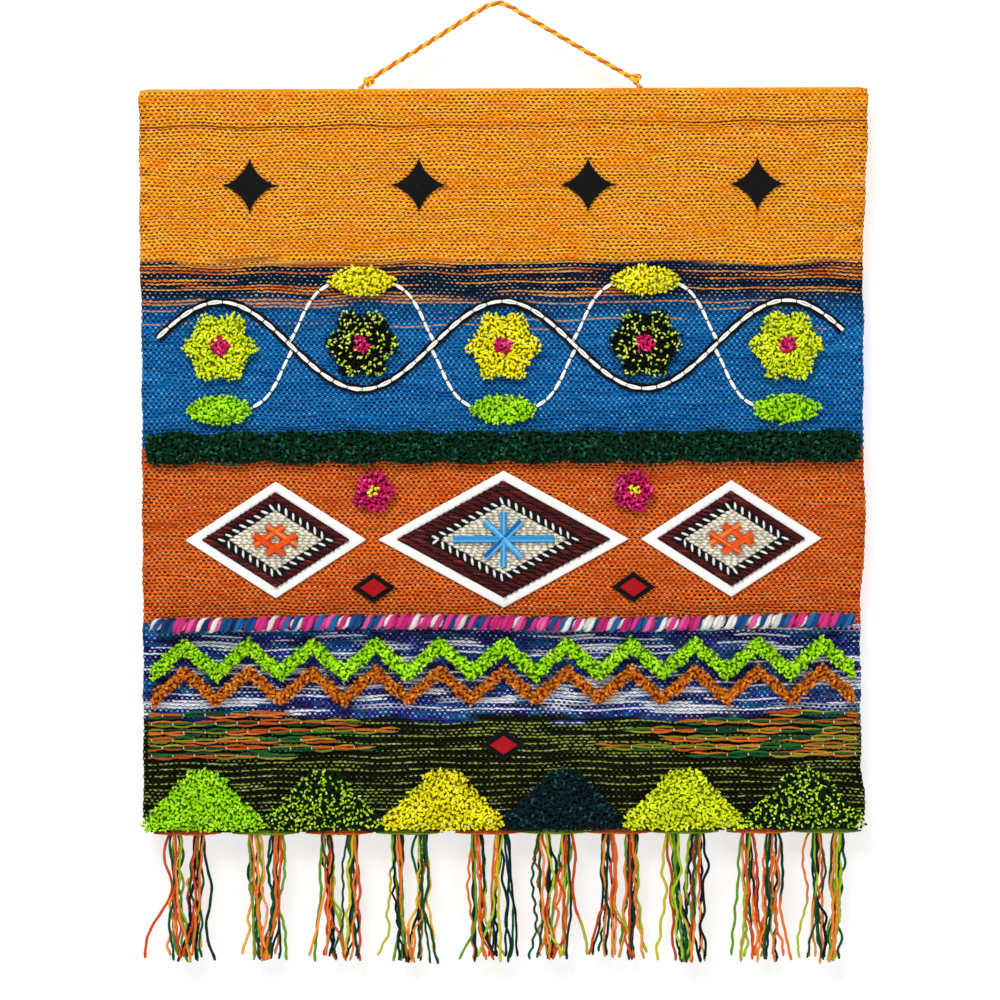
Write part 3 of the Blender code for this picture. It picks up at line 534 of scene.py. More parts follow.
def weft_faced_weave(name):
    """The cloth's wool: rows of beads set like bricks, with painted shade between them and painted
    highlights at their tips, where some bands carry real threads instead.
    """
    material, tree = plain_finish(name, Roughness=0.95, Specular_IOR_Level=0.06)

    def plus(first, second):
        return figure(tree, "ADD", first, second)

    def times(first, second, added=None):
        if added is None:
            return figure(tree, "MULTIPLY", first, second)
        return figure(tree, "MULTIPLY_ADD", first, second, added)

    def minus(first, second):
        return figure(tree, "SUBTRACT", first, second)

    def blended(share, under, over):
        return add_node(tree, "Mix", {"data_type": "RGBA"}, i0=share, i6=under, i7=over)[2]

    yarn = stored(tree, "dye")["Color"]
    shaded_gap, tip = stored(tree, "shaded_gap"), stored(tree, "tip")
    place = stored(tree, "fibre")["Vector"]
    drawn_out = moved(tree, "MULTIPLY", place, i1=(0.55, 1.5, 1.0))
    mottle = add_node(tree, "TexNoise", Vector=drawn_out, Scale=1.15, Detail=2.0, Roughness=0.6)[0]
    wander = add_node(tree, "TexNoise", Vector=place, Scale=0.9, Detail=2.0)["Color"]
    wander = moved(tree, "SUBTRACT", wander, i1=(0.5, 0.5, 0.5))
    wander = moved(tree, "MULTIPLY", wander, i1=(1.1, 0.85, 0.0))
    end, pick, _ = add_node(tree, "SeparateXYZ", Vector=moved(tree, "ADD", place, i1=wander))
    row = figure(tree, "FLOOR", plus(pick, 0.5))
    across = figure(tree, "COSINE", times(plus(plus(end, row), 1.0), math.pi))
    down = figure(tree, "COSINE", times(pick, 2 * math.pi))
    fibres = add_node(tree, "TexNoise", Vector=place, Scale=3.1, Detail=3.0, Roughness=0.7)[0]
    rough = times(plus(minus(fibres, 0.5), minus(mottle, 0.5)), 0.7)
    # Inside each hollow dash between the beads the gap's painted shade takes over.
    hollow = plus(times(across, 0.38), times(down, 0.62, rough))
    low, high = minus(shaded_gap["Alpha"], 0.14), plus(shaded_gap["Alpha"], 0.14)
    inside = ranged(tree, hollow, low, high, 0.0, 1.0, "SMOOTHSTEP")
    # On each bead's crown the tip's colour takes over: a painted highlight, or a real thread where a band
    # carries one.
    raised = plus(times(across, -0.42), times(down, 0.58, rough))
    near = times(tip["Alpha"], -0.85, 1.0)
    raised = ranged(tree, raised, near, plus(near, 0.28), 0.0, 1.0, "SMOOTHSTEP")
    dye = blended(raised, blended(inside, yarn, shaded_gap["Color"]), tip["Color"])
    uneven = plus(times(fibres, 0.4), times(mottle, 0.6))
    dye = moved(tree, "SCALE", dye, Scale=ranged(tree, uneven, 0.36, 0.64, 0.74, 1.26))
    height = minus(times(fibres, 0.6, times(raised, 0.4)), inside)
    return surfaced(material, dye, 1.0, 0.55 * MM, times(down, -0.7, height))


turn_steps = len(EDGE_TURN) - 1
end_at, pick_at = np.meshgrid(
    np.arange(-turn_steps, ENDS + turn_steps + 1.0), np.arange(-turn_steps, PICKS + turn_steps + 1.0),
)
share = np.clip(end_at / ENDS, 0, 1)
drop = np.clip(pick_at / PICKS, 0, 1) * CLOTH_DROP
rolling = sum(
    size * np.sin(2 * np.pi * (share * across + drop / down + phase))
    for size, across, down, phase in PICK_ROLLS
)
wander = PICK_WANDER * (streaks(21, end_at, pick_at, 40, 3) - 0.5) + PICK_ROLL * rolling
from_ends = np.clip(drop / HEM_DROP, 0, 1) * np.clip((CLOTH_DROP - drop) / HEM_DROP, 0, 1)
u, drop = within_sides(share, drop + MM * wander * from_ends)
from_side = np.minimum(share, 1 - share) * CLOTH_WIDTH
top_corner = np.clip(1 - from_side / TOP_CORNER, 0, 1) * np.clip(1 - drop / TOP_CORNER, 0, 1)
u = u - np.sign(u) * top_corner * TOP_CORNER_PULL[0]
drop = drop + top_corner * TOP_CORNER_PULL[1]
parity = np.where((end_at + pick_at) % 2 == 0, 1.0, -1.0)
past_side = np.where(end_at < 0, -1, np.where(end_at > ENDS, 1, 0))
past_end = np.where(pick_at < 0, -1, np.where(pick_at > PICKS, 1, 0))
outside = np.maximum(np.maximum(-end_at, end_at - ENDS), np.maximum(-pick_at, pick_at - PICKS))
outside = outside.clip(0).astype(int)
turn_depth, turn_out = np.moveaxis(EDGE_TURN[outside], -1, 0)
beading = np.where(pick_at % 2 == 0, *SELVEDGE_BEADS)
beading = beading + SELVEDGE_UNEVEN * (streaks(23, 0 * end_at, pick_at, 40) - 0.5)
u = u + past_side * (turn_out + beading * (turn_depth < 1)) * MM
drop = drop + past_end * turn_out * MM
doubled = np.where(drop < HEM_DROP, 2.0, 1.0)
proud = BEAD_RELIEF * parity * (outside == 0) - FACE_SUNK
proud = proud - turn_depth * (CLOTH_THICK * doubled - FACE_SUNK)
from_foot = drop / MM - HEM_FOOT + HEM_FOOT_TILT * share
groove = HEM_FOOT_DEEP * np.exp(-(from_foot / HEM_FOOT_WIDE) ** 2)
proud = proud - groove * np.interp(share, *HEM_FOOT_STRENGTH)
woven_wool = weft_faced_weave("weft-faced wool")
front_mesh = woven_grid("woven_cloth", end_at, pick_at, on_cloth(u, drop, proud))
cloth_front = add_piece("woven_cloth", front_mesh, woven_wool, ["cloth"])


# Back of the cloth. The same weave from behind, and the hem turned down on it, where a row of
# slanted stitches in orange sewing thread holds its fold.
BACK_INSIDE = 0.3 * MM
BACK_RIPPLE = 0.12 * MM
HEM_STEP = 2.4 * MM
HEM_STITCH_PITCH = 6.2 * MM
HEM_STITCH_REACH = (2.6 * MM, 5.2 * MM)
HEM_STITCH_RISE = 0.9 * MM
HEM_STITCH_FROM_SIDE = 6 * MM
HEM_THREAD = 0.45 * MM
HEM_THREAD_DYE = (238, 160, 60)

back_end, back_pick = np.meshgrid(np.arange(0, ENDS + 1.0, 2), np.arange(0, PICKS + 1.0))
back_u, back_drop = within_sides(back_end / ENDS, back_pick / PICKS * CLOTH_DROP, BACK_INSIDE)
hem = np.clip((HEM_DROP - back_drop) / HEM_STEP + 0.5, 0, 1)
hem = hem * hem * (3 - 2 * hem)
ripple = BACK_RIPPLE * np.where((back_end / 2 + back_pick) % 2 == 0, 1, -1)
back_points = on_cloth(back_u, back_drop, -CLOTH_THICK * (1 + hem) + ripple)
back_mesh = woven_grid("woven_back", back_end, back_pick, back_points)
back_mesh.flip_normals()
cloth_back = add_piece("woven_back", back_mesh, woven_wool, ["cloth"])

sewing_wool = wool("sewing thread", roughness=0.8, sheen=0.1)
hem_side = CLOTH_WIDTH / 2 - HEM_STITCH_FROM_SIDE
at = np.arange(-hem_side, hem_side, HEM_STITCH_PITCH)
t = np.linspace(0, 1, 6)[None]
stitch_path = on_cloth(
    at[:, None] + HEM_STITCH_REACH[0] * t, HEM_DROP - HEM_STEP + HEM_STITCH_REACH[1] * t,
    -CLOTH_THICK * (2 - t) - HEM_STITCH_RISE * np.sin(np.pi * np.clip(t * 1.1, 0, 1)) - 0.1 * MM,
)
stitches = [spun(stitch_path, HEM_THREAD, dyed(HEM_THREAD_DYE), 6)]
hem_stitches = add_piece("hem_stitches", stitches, sewing_wool)


# Fringe. Ten groups of thin two-ply yarns drawn through the bottom edge, each gathered in two
# bundles. Floats of the same yarn run along under the edge from one group to the next, and three
# dark yarns lie along the whole edge beside them.
FRINGE_GROUPS = (
    # middle, left bundle, right bundle, length, main colour
    (-218.5, -6.5, 10.0, 91, "orange"), (-164.0, -7.5, 9.5, 90, "green"), (-112.5, -9.0, 9.0, 91, "orange"),
    (-64.0, -9.5, 8.5, 92, "green"), (-9.5, -9.0, 8.0, 92, "orange"), (35.5, -8.0, 8.5, 90, "green"),
    (80.0, -8.5, 8.0, 90, "orange"), (124.5, -8.5, 8.5, 92, "green"), (176.0, -8.5, 8.5, 92, "orange"),
    (224.0, -9.5, 6.5, 93, "green"),
)
BUNDLE_YARNS = 10
BUNDLE_HALF = 4.3
BUNDLE_DEEP = 2.4
FRINGE_YARN = 0.97 * MM
FRINGE_KINKS = (
    # half-waves along the yarn, size
    (3.1, 0.95), (6.3, 0.7), (11.0, 0.42), (18.0, 0.30),
)
FLOAT_YARN = 1.15 * MM
FLOAT_HALF = 23 * MM
FLOAT_DOWN = 1.7
FLOAT_LAY = (
    # aside, forward
    (-0.85, -0.6), (0.85, -0.9), (0.0, 0.4),
)
EDGE_YARN = 0.95 * MM
EDGE_LAY = (
    # lower, forward
    (0.2, -1.1), (0.7, 0.6), (-0.9, -1.6),
)
EDGE_DARK = (14, 34, 22)
FRINGE_DYES = (
    (238, 124, 44), (250, 150, 60), (214, 76, 28), (252, 186, 46), (168, 200, 34), (104, 162, 34),
    (8, 84, 44), (0, 50, 42), (8, 22, 32), (212, 198, 38),
)
FRINGE_SHARES = {
    "orange": (0.20, 0.10, 0.13, 0.04, 0.11, 0.06, 0.14, 0.11, 0.09, 0.02),
    "green": (0.13, 0.06, 0.08, 0.03, 0.14, 0.10, 0.19, 0.13, 0.10, 0.04),
}
FLOAT_DYES = {
    "orange": ((188, 76, 24), (214, 104, 40), (150, 60, 20)),
    "green": ((96, 130, 30), (132, 158, 40), (40, 96, 40)),
}
edge_y = FACE_Y + CLOTH_THICK / 2
fringe_dyes = dyed(FRINGE_DYES)


def hanging_bundle(middle, aside, length, shares, draw):
    """Yarns that leave the edge together, kink, stray and hang free to their trimmed ends."""
    count, one_each = BUNDLE_YARNS, (BUNDLE_YARNS, 1)
    steps = np.linspace(0, 1, 34)
    root = np.linspace(-BUNDLE_HALF, BUNDLE_HALF, count) + draw.normal(0, 0.6, count)
    root = root[draw.permutation(count)]
    spread = root * 1.2 + draw.normal(0, 7.0, count).clip(-11, 11) - 0.3 * aside
    strays = draw.random(count) < 0.15
    spread = np.where(strays, spread * 1.5, spread).clip(-13, 13)
    bow = draw.normal(0, 1.6, one_each) + strays[:, None] * draw.normal(0, 2.6, one_each)
    kink = sum(
        draw.normal(0, size, one_each) * np.sin(np.pi * turns * steps + draw.uniform(0, 6.3, one_each))
        for turns, size in FRINGE_KINKS
    )
    waist = 1 - draw.uniform(0.1, 0.75) * np.exp(-((steps - draw.uniform(0.45, 0.7)) / 0.22) ** 2)
    x = (root[:, None] + (spread - root)[:, None] * steps ** 0.85) * waist
    x = x * (0.55 + 0.45 * np.sin(np.pi / 2 * np.minimum(1, steps / 0.12)))
    x = x + bow * np.sin(np.pi * steps) * (0.4 + 0.6 * waist) + kink * np.minimum(1, steps * 4)
    apart = np.where(draw.random(one_each) < 0.08, 9 * np.sign(spread[:, None]), 0)
    x = x + apart * np.clip(steps * 1.6 - 0.6, 0, 1) ** 1.5
    deep = np.linspace(-BUNDLE_DEEP, BUNDLE_DEEP, count)[draw.permutation(count)][:, None]
    deep = deep * np.minimum(1, 0.5 + 1.5 * steps)
    deep = deep + draw.normal(0, 0.5, one_each) * np.sin(np.pi * 2.3 * steps)
    reach = length * (1 - draw.uniform(0, 0.06, one_each))
    u = (middle + x) * MM
    start = on_cloth(middle * MM, CLOTH_DROP)[2] + 0.6 * MM
    down = start - (reach + 0.6 * MM) * steps
    paths = np.stack([CLOTH_MIDDLE + u, edge_y + deep * MM, np.broadcast_to(down, u.shape)], axis=-1)
    dye, other = (fringe_dyes[draw.choice(len(fringe_dyes), count, p=shares)] for _ in range(2))
    change = np.where(draw.random(one_each) < 0.35, draw.uniform(0.3, 0.8, one_each), 2.0)
    plies = mixed(dye[:, None], other[:, None], (steps - change) * 12 + 0.5)[:, :, None]
    shade = draw.uniform(0.86, 1.12, one_each + (1, 1))
    # Darker where the yarns come out from under the edge and its floats: painted shade.
    shade = shade * (1 - 0.25 * np.exp(-steps * 14))[None, :, None, None]
    thick = FRINGE_YARN * draw.uniform(0.86, 1.1, one_each) * (1 + 0.06 * np.sin(steps * 60))
    thick[:, -2] *= 1.12
    thick[:, -1] *= 0.8
    return spun(paths, thick, plies * shade, 5)


def lying_yarn(u, lower, forward, radius, dye, sides, lobe, pitch):
    """One two-ply yarn that lies along just under the cloth's edge."""
    path = on_cloth(u, CLOTH_DROP, 0)
    path[:, 2] -= lower * MM
    path[:, 1] = edge_y + forward * MM
    return spun(path[None], radius, dye, sides, plies=2, lobe=lobe, pitch=pitch * MM)


fringe_wool = wool("fringe yarn", sheen=0.05, streak=0.25, relief=0.25)
t = np.linspace(0, 1, 26)
swell = np.sin(np.pi * (0.04 + 0.92 * t)) ** 0.8
for number, (middle, left, right, length, colour) in enumerate(FRINGE_GROUPS, 1):
    draw = np.random.default_rng(400 + number)
    shares = FRINGE_SHARES[colour]
    parts = [hanging_bundle(middle + side, side, length * MM, shares, draw) for side in (left, right)]
    u = (middle + (left + right) / 2) * MM + (t - 0.5) * 2 * FLOAT_HALF
    for k, (aside, forward) in enumerate(FLOAT_LAY):
        lower = FLOAT_DOWN + aside * swell + 0.15 * np.sin(9 * t + k)
        radius = (FLOAT_YARN * (0.25 + 0.75 * swell))[None]
        dye = dyed(FLOAT_DYES[colour][k])
        parts.append(lying_yarn(u, lower, forward - 0.8 * swell, radius, dye, 7, 0.1, 9))
    add_piece(f"fringe_yarns_{number:02d}", parts, fringe_wool, [f"fringe_{number:02d}"])

draw = np.random.default_rng(77)
parts = []
u = np.linspace(-CLOTH_WIDTH / 2 + 8 * MM, CLOTH_WIDTH / 2 - 7 * MM, 260)
for k, (lower, forward) in enumerate(EDGE_LAY):
    lower = lower + 0.35 * np.sin(u / MM / (13 + 3 * k) + k)
    forward = forward + 0.3 * np.sin(u / MM / 17 + 2 * k)
    dye = dyed(EDGE_DARK) * draw.uniform(0.6, 1.5)
    parts.append(lying_yarn(u, lower, forward, EDGE_YARN, dye, 6, 0.14, 6))
edge_floats = add_piece("edge_floats", parts, fringe_wool)


# Felt pieces. Stars, and small red lozenges on black ones, cut from thin pressed wool felt with a
# clean edge and laid flat; the stars and the red ones are sewn down with small slanted stitches of
# their own colour over the edge.
FELT_THICK = 1.5 * MM
FELT_GAP = 0.6 * MM
FELT_EDGE = (
    # share of the thickness, how far the rounded edge draws in
    (0.0, 0.0), (0.7, 0.0), (0.95, 0.3 * MM), (1.0, 0.9 * MM),
)
FELT_FACE = ((1.02, 0.7), (1.0, 0.35), (1.0, 0.02))
STAR_SUNK = 0.3 * MM
PAIR_SUNK = 0.4 * MM
PAIR_BLACK_THICK = FELT_THICK + 0.3 * MM
FELT_BLACK = (17, 17, 18)
FELT_RED = (172, 18, 28)
STAR_REACH = 19 * MM
STAR_DROP = 66 * MM
STAR_PLACES = (-174, -58, 58, 174)
STAR_STITCHES = (5 * MM, 1.5 * MM, 0.22 * MM)
STAR_THREAD = (30, 30, 32)
PAIR_PLACES = ((-89, 342), (0, 450), (89, 342))
PAIR_BLACK_HALF = (15 * MM, 10.5 * MM)
PAIR_RED_HALF = (9.5 * MM, 6.5 * MM)
PAIR_STITCHES = (3.2 * MM, 1.3 * MM, 0.2 * MM)
PAIR_THREAD = (120, 12, 22)


def pressed_felt(name):
    """Felt: matted short fibres with no grain, and a faint nap that catches the light."""
    material, tree = plain_finish(name, Roughness=1.0, Specular_IOR_Level=0.1, Sheen_Weight=0.12)
    dye = stored(tree, "dye")["Color"]
    place = add_node(tree, "TexCoord")["Object"]
    matted = add_node(tree, "TexNoise", Vector=place, Scale=900.0, Detail=5.0, Roughness=0.75)[0]
    cloudy = add_node(tree, "TexNoise", Vector=place, Scale=120.0, Detail=2.0)[0]
    both = figure(tree, "ADD", figure(tree, "MULTIPLY", matted, 0.7), figure(tree, "MULTIPLY", cloudy, 0.3))
    shade = ranged(tree, both, 0.35, 0.65, 0.72, 1.2)
    return surfaced(material, moved(tree, "SCALE", dye, Scale=shade), 0.5, 0.3 * MM, matted)


def laid(track, u, drop, proud):
    """A track of (across, down) round a place, laid on the cloth."""
    return on_cloth(u + track[..., 0], drop + track[..., 1], proud)


def cut_flat(outline, u, drop, proud, thick, dye, seed):
    """A flat piece cut to an outline that its middle sees whole: its wall, rounded edge and face."""
    draw = np.random.default_rng(seed)
    size = np.abs(outline).max()
    profile = [(lift, 1 - drawn / size) for lift, drawn in FELT_EDGE] + list(FELT_FACE)
    ragged = outline * (1 + draw.normal(0, 0.006, (len(outline), 1)))
    rings = []
    for k, (lift, share) in enumerate(profile):
        warp = draw.normal(0, 0.04, len(outline)) * thick if k > 2 else 0
        rings.append(laid(ragged * share, u, drop, proud + thick * lift + warp))
    points, index, faces = walled(rings)
    down = outline[:, 0] @ np.roll(outline[:, 1], -1) - outline[:, 1] @ np.roll(outline[:, 0], -1)
    if down > 0:
        faces, index = faces[:, ::-1], index[:, ::-1]
    tint = np.broadcast_to(dyed(dye), points.shape) * draw.uniform(0.94, 1.06, (len(points), 1))
    return points, [faces, index[-1:], index[:1, ::-1]], tint, points / MM * 0.5


def whipped(outline, u, drop, proud, stitches, dye, seed):
    """Small slanted stitches (every, reach, thickness) over a flat piece's edge, all round it."""
    every, reach, thick = stitches
    draw = np.random.default_rng(seed)
    loop = smooth_route(np.vstack([outline, outline[:1]]), every)[:-1]
    inward = unit(-loop)
    slant = unit(np.roll(loop, -1, axis=0) - loop)
    t = np.linspace(0, 1, 6)[None, :, None]
    step = inward * reach * draw.uniform(0.8, 1.1, (len(loop), 1)) + slant * 0.35 * reach
    track = (loop - inward * 0.3 * reach)[:, None] + step[:, None] * t
    rise = proud + 0.7 * thick * np.sin(np.pi * np.clip(t[..., 0] * 0.9 + 0.08, 0, 1))
    return spun(laid(track, u, drop, rise), thick, dyed(dye), 5)


def star_outline(reach, points=72, hollow=2.9):
    """A four-pointed star with hollow sides."""
    angle = 2 * np.pi * np.arange(points) / points
    both = np.stack([np.cos(angle), np.sin(angle)], axis=1)
    return np.sign(both) * np.abs(both) ** hollow * reach


def diamond(half_wide, half_tall, steps=10):
    """A lozenge, each side in steps."""
    corners = np.array([(half_wide, 0), (0, half_tall), (-half_wide, 0), (0, -half_tall)])
    t = np.arange(steps)[None, :, None] / steps
    return (corners[:, None] * (1 - t) + np.roll(corners, -1, axis=0)[:, None] * t).reshape(-1, 2)


felt = pressed_felt("pressed wool felt")
star = star_outline(STAR_REACH)
for k, place in enumerate(STAR_PLACES):
    u, top = place * MM, SEWN_GAP + FELT_THICK
    parts = [
        cut_flat(star, u, STAR_DROP, SEWN_GAP - STAR_SUNK, FELT_THICK, FELT_BLACK, 90 + k),
        whipped(star, u, STAR_DROP, top, STAR_STITCHES, STAR_THREAD, 95 + k),
    ]
    add_piece(f"cut_star_{k + 1}", parts, felt, [f"felt_star_{k + 1}"])
black, red = diamond(*PAIR_BLACK_HALF), diamond(*PAIR_RED_HALF)
for k, (middle, drop) in enumerate(PAIR_PLACES):
    u, drop, top = middle * MM, drop * MM, FELT_GAP + FELT_THICK
    parts = [cut_flat(black, u, drop, FELT_GAP - PAIR_SUNK, PAIR_BLACK_THICK, FELT_BLACK, 101 + k)]
    add_piece(f"cut_black_{k + 1}", parts, felt, [f"felt_black_{k + 1}"])
    parts = [
        cut_flat(red, u, drop, top, FELT_THICK, FELT_RED, 105 + k),
        whipped(red, u, drop, top + FELT_THICK, PAIR_STITCHES, PAIR_THREAD, 109 + k),
    ]
    add_piece(f"cut_red_{k + 1}", parts, felt, [f"felt_red_{k + 1}"])


# Vine. Black yarns laid side by side and couched down as a stem, with two white yarns along it that
# part between the black ties that pinch them down, and white side shoots to the leaves.
VINE_DROP = 176 * MM
VINE_SWING = 30 * MM
VINE_HALF_WAVE = 97 * MM
VINE_SIDE = 237 * MM
VINE_WIDE = 6.5 * MM
VINE_YARN = 0.85 * MM
VINE_LANES = np.array((
    # share of the width aside, how far proud
    (-0.38, 0.65), (-0.20, 0.95), (0.0, 1.15), (0.20, 0.95), (0.38, 0.65),
))
VINE_STEP = 2.2 * MM
WHITE_PAIRS = {
    # how far the yarns part, thickness, from tie to tie, how far proud
    "stem": (0.42 * MM, 0.66 * MM, 10.5 * MM, SEWN_GAP + 2.2 * MM),
    "shoot": (0.30 * MM, 0.60 * MM, 8.4 * MM, SEWN_GAP + 0.45 * MM),
}
TIE_YARN = 0.48 * MM
VINE_BLACK = (20, 19, 20)
VINE_WHITE = (255, 254, 250)
SHOOT_STARTS = 50 * MM
SHOOT_ROUTE = ((44.5, 12), (38.5, 25), (31.0, 36), (21.0, 43))


def vine_at(u):
    """The drop of the vine's middle line."""
    return VINE_DROP - VINE_SWING * np.cos(np.pi * u / VINE_HALF_WAVE)


def laid_beside(route, aside, proud):
    """Yarn paths laid on the cloth beside a route of (u, drop), each so far aside and so far proud."""
    ahead = unit(np.gradient(route, axis=0))
    beside = np.stack([-ahead[:, 1], ahead[:, 0]], axis=1)
    return laid(route[None] + np.asarray(aside)[..., None] * beside[None], 0, 0, proud)


def pinched_pair(route, open_wide, thick, tie_every, base):
    """Two white yarns along a route that part between the black ties that pinch them together."""
    length = runs_of(route[None])[0]
    swell = np.abs(np.sin(np.pi * length / tie_every)) ** 0.6
    parting = 0.4 * thick + open_wide * swell * (1 + 0.4 * np.sin(length / MM * 0.31))
    girth = thick * (0.60 + 0.42 * swell)[None]
    paths = laid_beside(route, np.stack([parting, -parting]), base + 0.5 * girth)
    places = np.arange(tie_every, length[-1], tie_every)
    at, next_at = (
        np.stack([np.interp(places + on, length, line) for line in route.T], axis=1)
        for on in (0, 0.4 * MM)
    )
    ahead = unit(next_at - at)
    t = np.linspace(0, np.pi, 7)[None]
    beside = np.cos(t) * 1.5 * thick
    over = base + np.sin(t) * 1.35 * thick - 0.3 * MM
    ties = on_cloth(at[:, :1] - ahead[:, 1:] * beside, at[:, 1:] + ahead[:, :1] * beside, over)
    return [
        spun(paths, girth, dyed(VINE_WHITE), 8),
        spun(ties, TIE_YARN, dyed(VINE_BLACK), 5, facing=(0.3, 0.1, 1.0)),
    ]


couched_wool = wool("couched yarn", sheen=0.08, streak=0.45)
white_wool = wool("couched white yarn", sheen=0.0, streak=0.10)
vine_u = np.linspace(-VINE_SIDE, VINE_SIDE, 1200)
vine_route = smooth_route(np.stack([vine_u, vine_at(vine_u)], axis=1)[::12], VINE_STEP)
draw = np.random.default_rng(120)
run = np.linspace(0, 1, len(vine_route))[None]
lanes, lifts = VINE_LANES.T[:, :, None]
lanes = lanes * VINE_WIDE
aside = lanes + 0.28 * MM * np.sin(run * draw.uniform(120, 190, (5, 1)) + draw.uniform(0, 6, (5, 1)))
lift = SEWN_GAP + lifts * MM + 0.12 * MM * np.sin(run * 150 + lanes * 900)
ply = dyed(VINE_BLACK) * draw.uniform(0.6, 1.7, (5, 1))
stem = spun(laid_beside(vine_route, aside, lift), VINE_YARN, ply, 6, plies=2, lobe=0.12, pitch=7 * MM)
add_piece("couched_stem", [stem], couched_wool, ["vine_band"])
white = pinched_pair(vine_route, *WHITE_PAIRS["stem"])
add_piece("couched_white", white, white_wool, ["vine_yarn"])

shoots = []
for k in range(5):
    middle = (k - 2) * VINE_HALF_WAVE
    inner = 1 if k % 2 == 0 else -1
    for hand in (-1, 1):
        from_u = middle + hand * SHOOT_STARTS
        route = [(middle + hand * out * MM, VINE_DROP + inner * down * MM) for out, down in SHOOT_ROUTE]
        route = smooth_route([(from_u, vine_at(from_u))] + route, 1.2 * MM)
        if abs(from_u) < VINE_SIDE:
            shoots += pinched_pair(route, *WHITE_PAIRS["shoot"])
add_piece("white_shoots", shoots, white_wool)


# Pile. Flowers, leaves, blossoms, a band, zigzags and a border of short wool yarns knotted through
# the cloth. Their cut ends stand close together, curl every way, and spill outwards at the rims.
PILE_HEIGHT = 7.0 * MM
TUFT_THICK = 0.84 * MM
TUFT_PITCH = 2.08 * MM
TUFT_REACH = (2.0, 4.3)
TUFT_CURL = 2.1
TUFT_PROFILE = np.array((0.80, 1.02, 1.10, 1.02, 0.60))
# Along each tuft from root to tip: dark at the root as painted shade, and past its own colour at the tip as
# a painted highlight.
TUFT_PAINTED_LIGHT = np.array((0.30, 0.62, 0.98, 1.10, 1.14))[None, :, None, None]
PILE_DYES = {
    # most tufts, some, few
    "lime": ((172, 240, 12), (148, 222, 6), (206, 255, 60)),
    "yellow_lime": ((234, 248, 20), (212, 232, 8), (248, 255, 76)),
    "yellow": ((255, 248, 12), (247, 232, 6), (255, 255, 92)),
    "dark_green": ((0, 56, 34), (0, 38, 20), (30, 96, 62)),
    "teal": ((0, 38, 46), (0, 24, 30), (30, 78, 80)),
    "orange": ((224, 122, 22), (204, 100, 12), (248, 160, 60)),
    "pink": ((226, 32, 110), (196, 14, 84), (250, 90, 156)),
    "speckled": ((0, 14, 4), (232, 244, 92), (164, 208, 24)),
    "flecked": ((6, 40, 8), (168, 216, 24), (226, 244, 84)),
}
PILE_SHARES = {"speckled": (0.58, 0.28, 0.14), "flecked": (0.48, 0.34, 0.18)}
PLAIN_SHARES = (0.52, 0.32, 0.16)
SPECK_SIZE = 0.80
SPECK_STANDS = 0.5 * MM
MOUND_LEAN = 1.6 * MM
STRIP_LEAN = 1.4 * MM
# How dark the sheet under the tufts is against their dye: painted shade.
BED_PAINTED_SHADE = 0.40
MOUND_BED = (
    # share of the outline, share of the height
    (0.86, -0.05), (0.93, 0.16), (0.90, 0.42), (0.76, 0.54), (0.4, 0.58),
)
STRIP_BED = ((-0.90, 0), (-0.98, 0.2), (-0.7, 0.54), (0.7, 0.54), (0.98, 0.2), (0.90, 0))


def petalled(reach, petals, depth, points=72):
    """A round outline with a number of petals."""
    angle = 2 * np.pi * np.arange(points) / points
    out = reach * (1 + depth * np.cos(petals * angle))
    return np.stack([out * np.cos(angle), out * np.sin(angle)], axis=1)


def knotting_places(wide, tall, draw):
    """Places on a brick pattern over a field, each a little off its mark."""
    rows = np.arange(-tall, tall, TUFT_PITCH * 0.87)
    columns = np.arange(-wide, wide, TUFT_PITCH)
    across, down = np.meshgrid(columns, rows)
    across = across + (np.arange(len(rows)) % 2)[:, None] * TUFT_PITCH / 2
    places = np.stack([across.ravel(), down.ravel()], axis=1)
    return places + draw.uniform(-0.34, 0.34, places.shape) * TUFT_PITCH


def clumped(u, drop):
    """How far the pile draws together in soft clumps, from -1 to 1, alike for neighbouring tufts."""
    across, down = u / (6.5 * MM), drop / (5.0 * MM)
    return (np.sin(across + 1.7 * np.sin(down)) + np.sin(1.3 * down + 1.9 * np.sin(0.8 * across))) / 2


def tufts(u, drop, low, high, lean, dyes, draw, rim, size=1.0):
    """Cut ends of wool, each a short yarn that rises, bends over and curls to one side."""
    one_each = (len(u), 1)
    t = np.linspace(0, 1, 5)[None]
    way = draw.uniform(0, 2 * np.pi, one_each)
    cos, sin = np.cos(way), np.sin(way)
    clump = clumped(u, drop)[:, None]
    size = np.reshape(size, (-1, 1))
    long = size * MM * (1 - 0.45 * rim[:, None] ** 4)
    ahead = draw.uniform(*TUFT_REACH, one_each) * long * (t - 0.45)
    aside = draw.uniform(-TUFT_CURL, TUFT_CURL, one_each) * long * np.sin(np.pi * t)
    across = u[:, None] + (cos * ahead - sin * aside + lean[:, :1] * t)
    down = drop[:, None] + (sin * ahead + cos * aside + lean[:, 1:] * t)
    stand = np.sin(np.pi * (0.06 + 0.72 * t)) * (draw.uniform(0.86, 1.10, one_each) + 0.10 * clump)
    paths = on_cloth(across, down, low[:, None] + (high - low)[:, None] * stand)
    thick = TUFT_THICK * size * TUFT_PROFILE * draw.uniform(0.85, 1.15, one_each)
    # Each tuft's tone differs at random, and the tufts of a raised clump are lighter and those of a sunk
    # one darker, which is painted light and shade.
    bright = (draw.uniform(0.86, 1.12, one_each) + 0.12 * clump)[..., None, None]
    colour = dyes[:, None, None] * TUFT_PAINTED_LIGHT * bright
    facing = np.stack([-sin, 0 * way, -cos], axis=-1)
    return spun(paths, thick, colour, 4, facing=facing, phase=draw.uniform(0, 6, len(u)))


def domed(height, share):
    """How high the tips stand at a share of the way from the middle out to the rim."""
    return height * (1.03 - 0.42 * share ** 5)


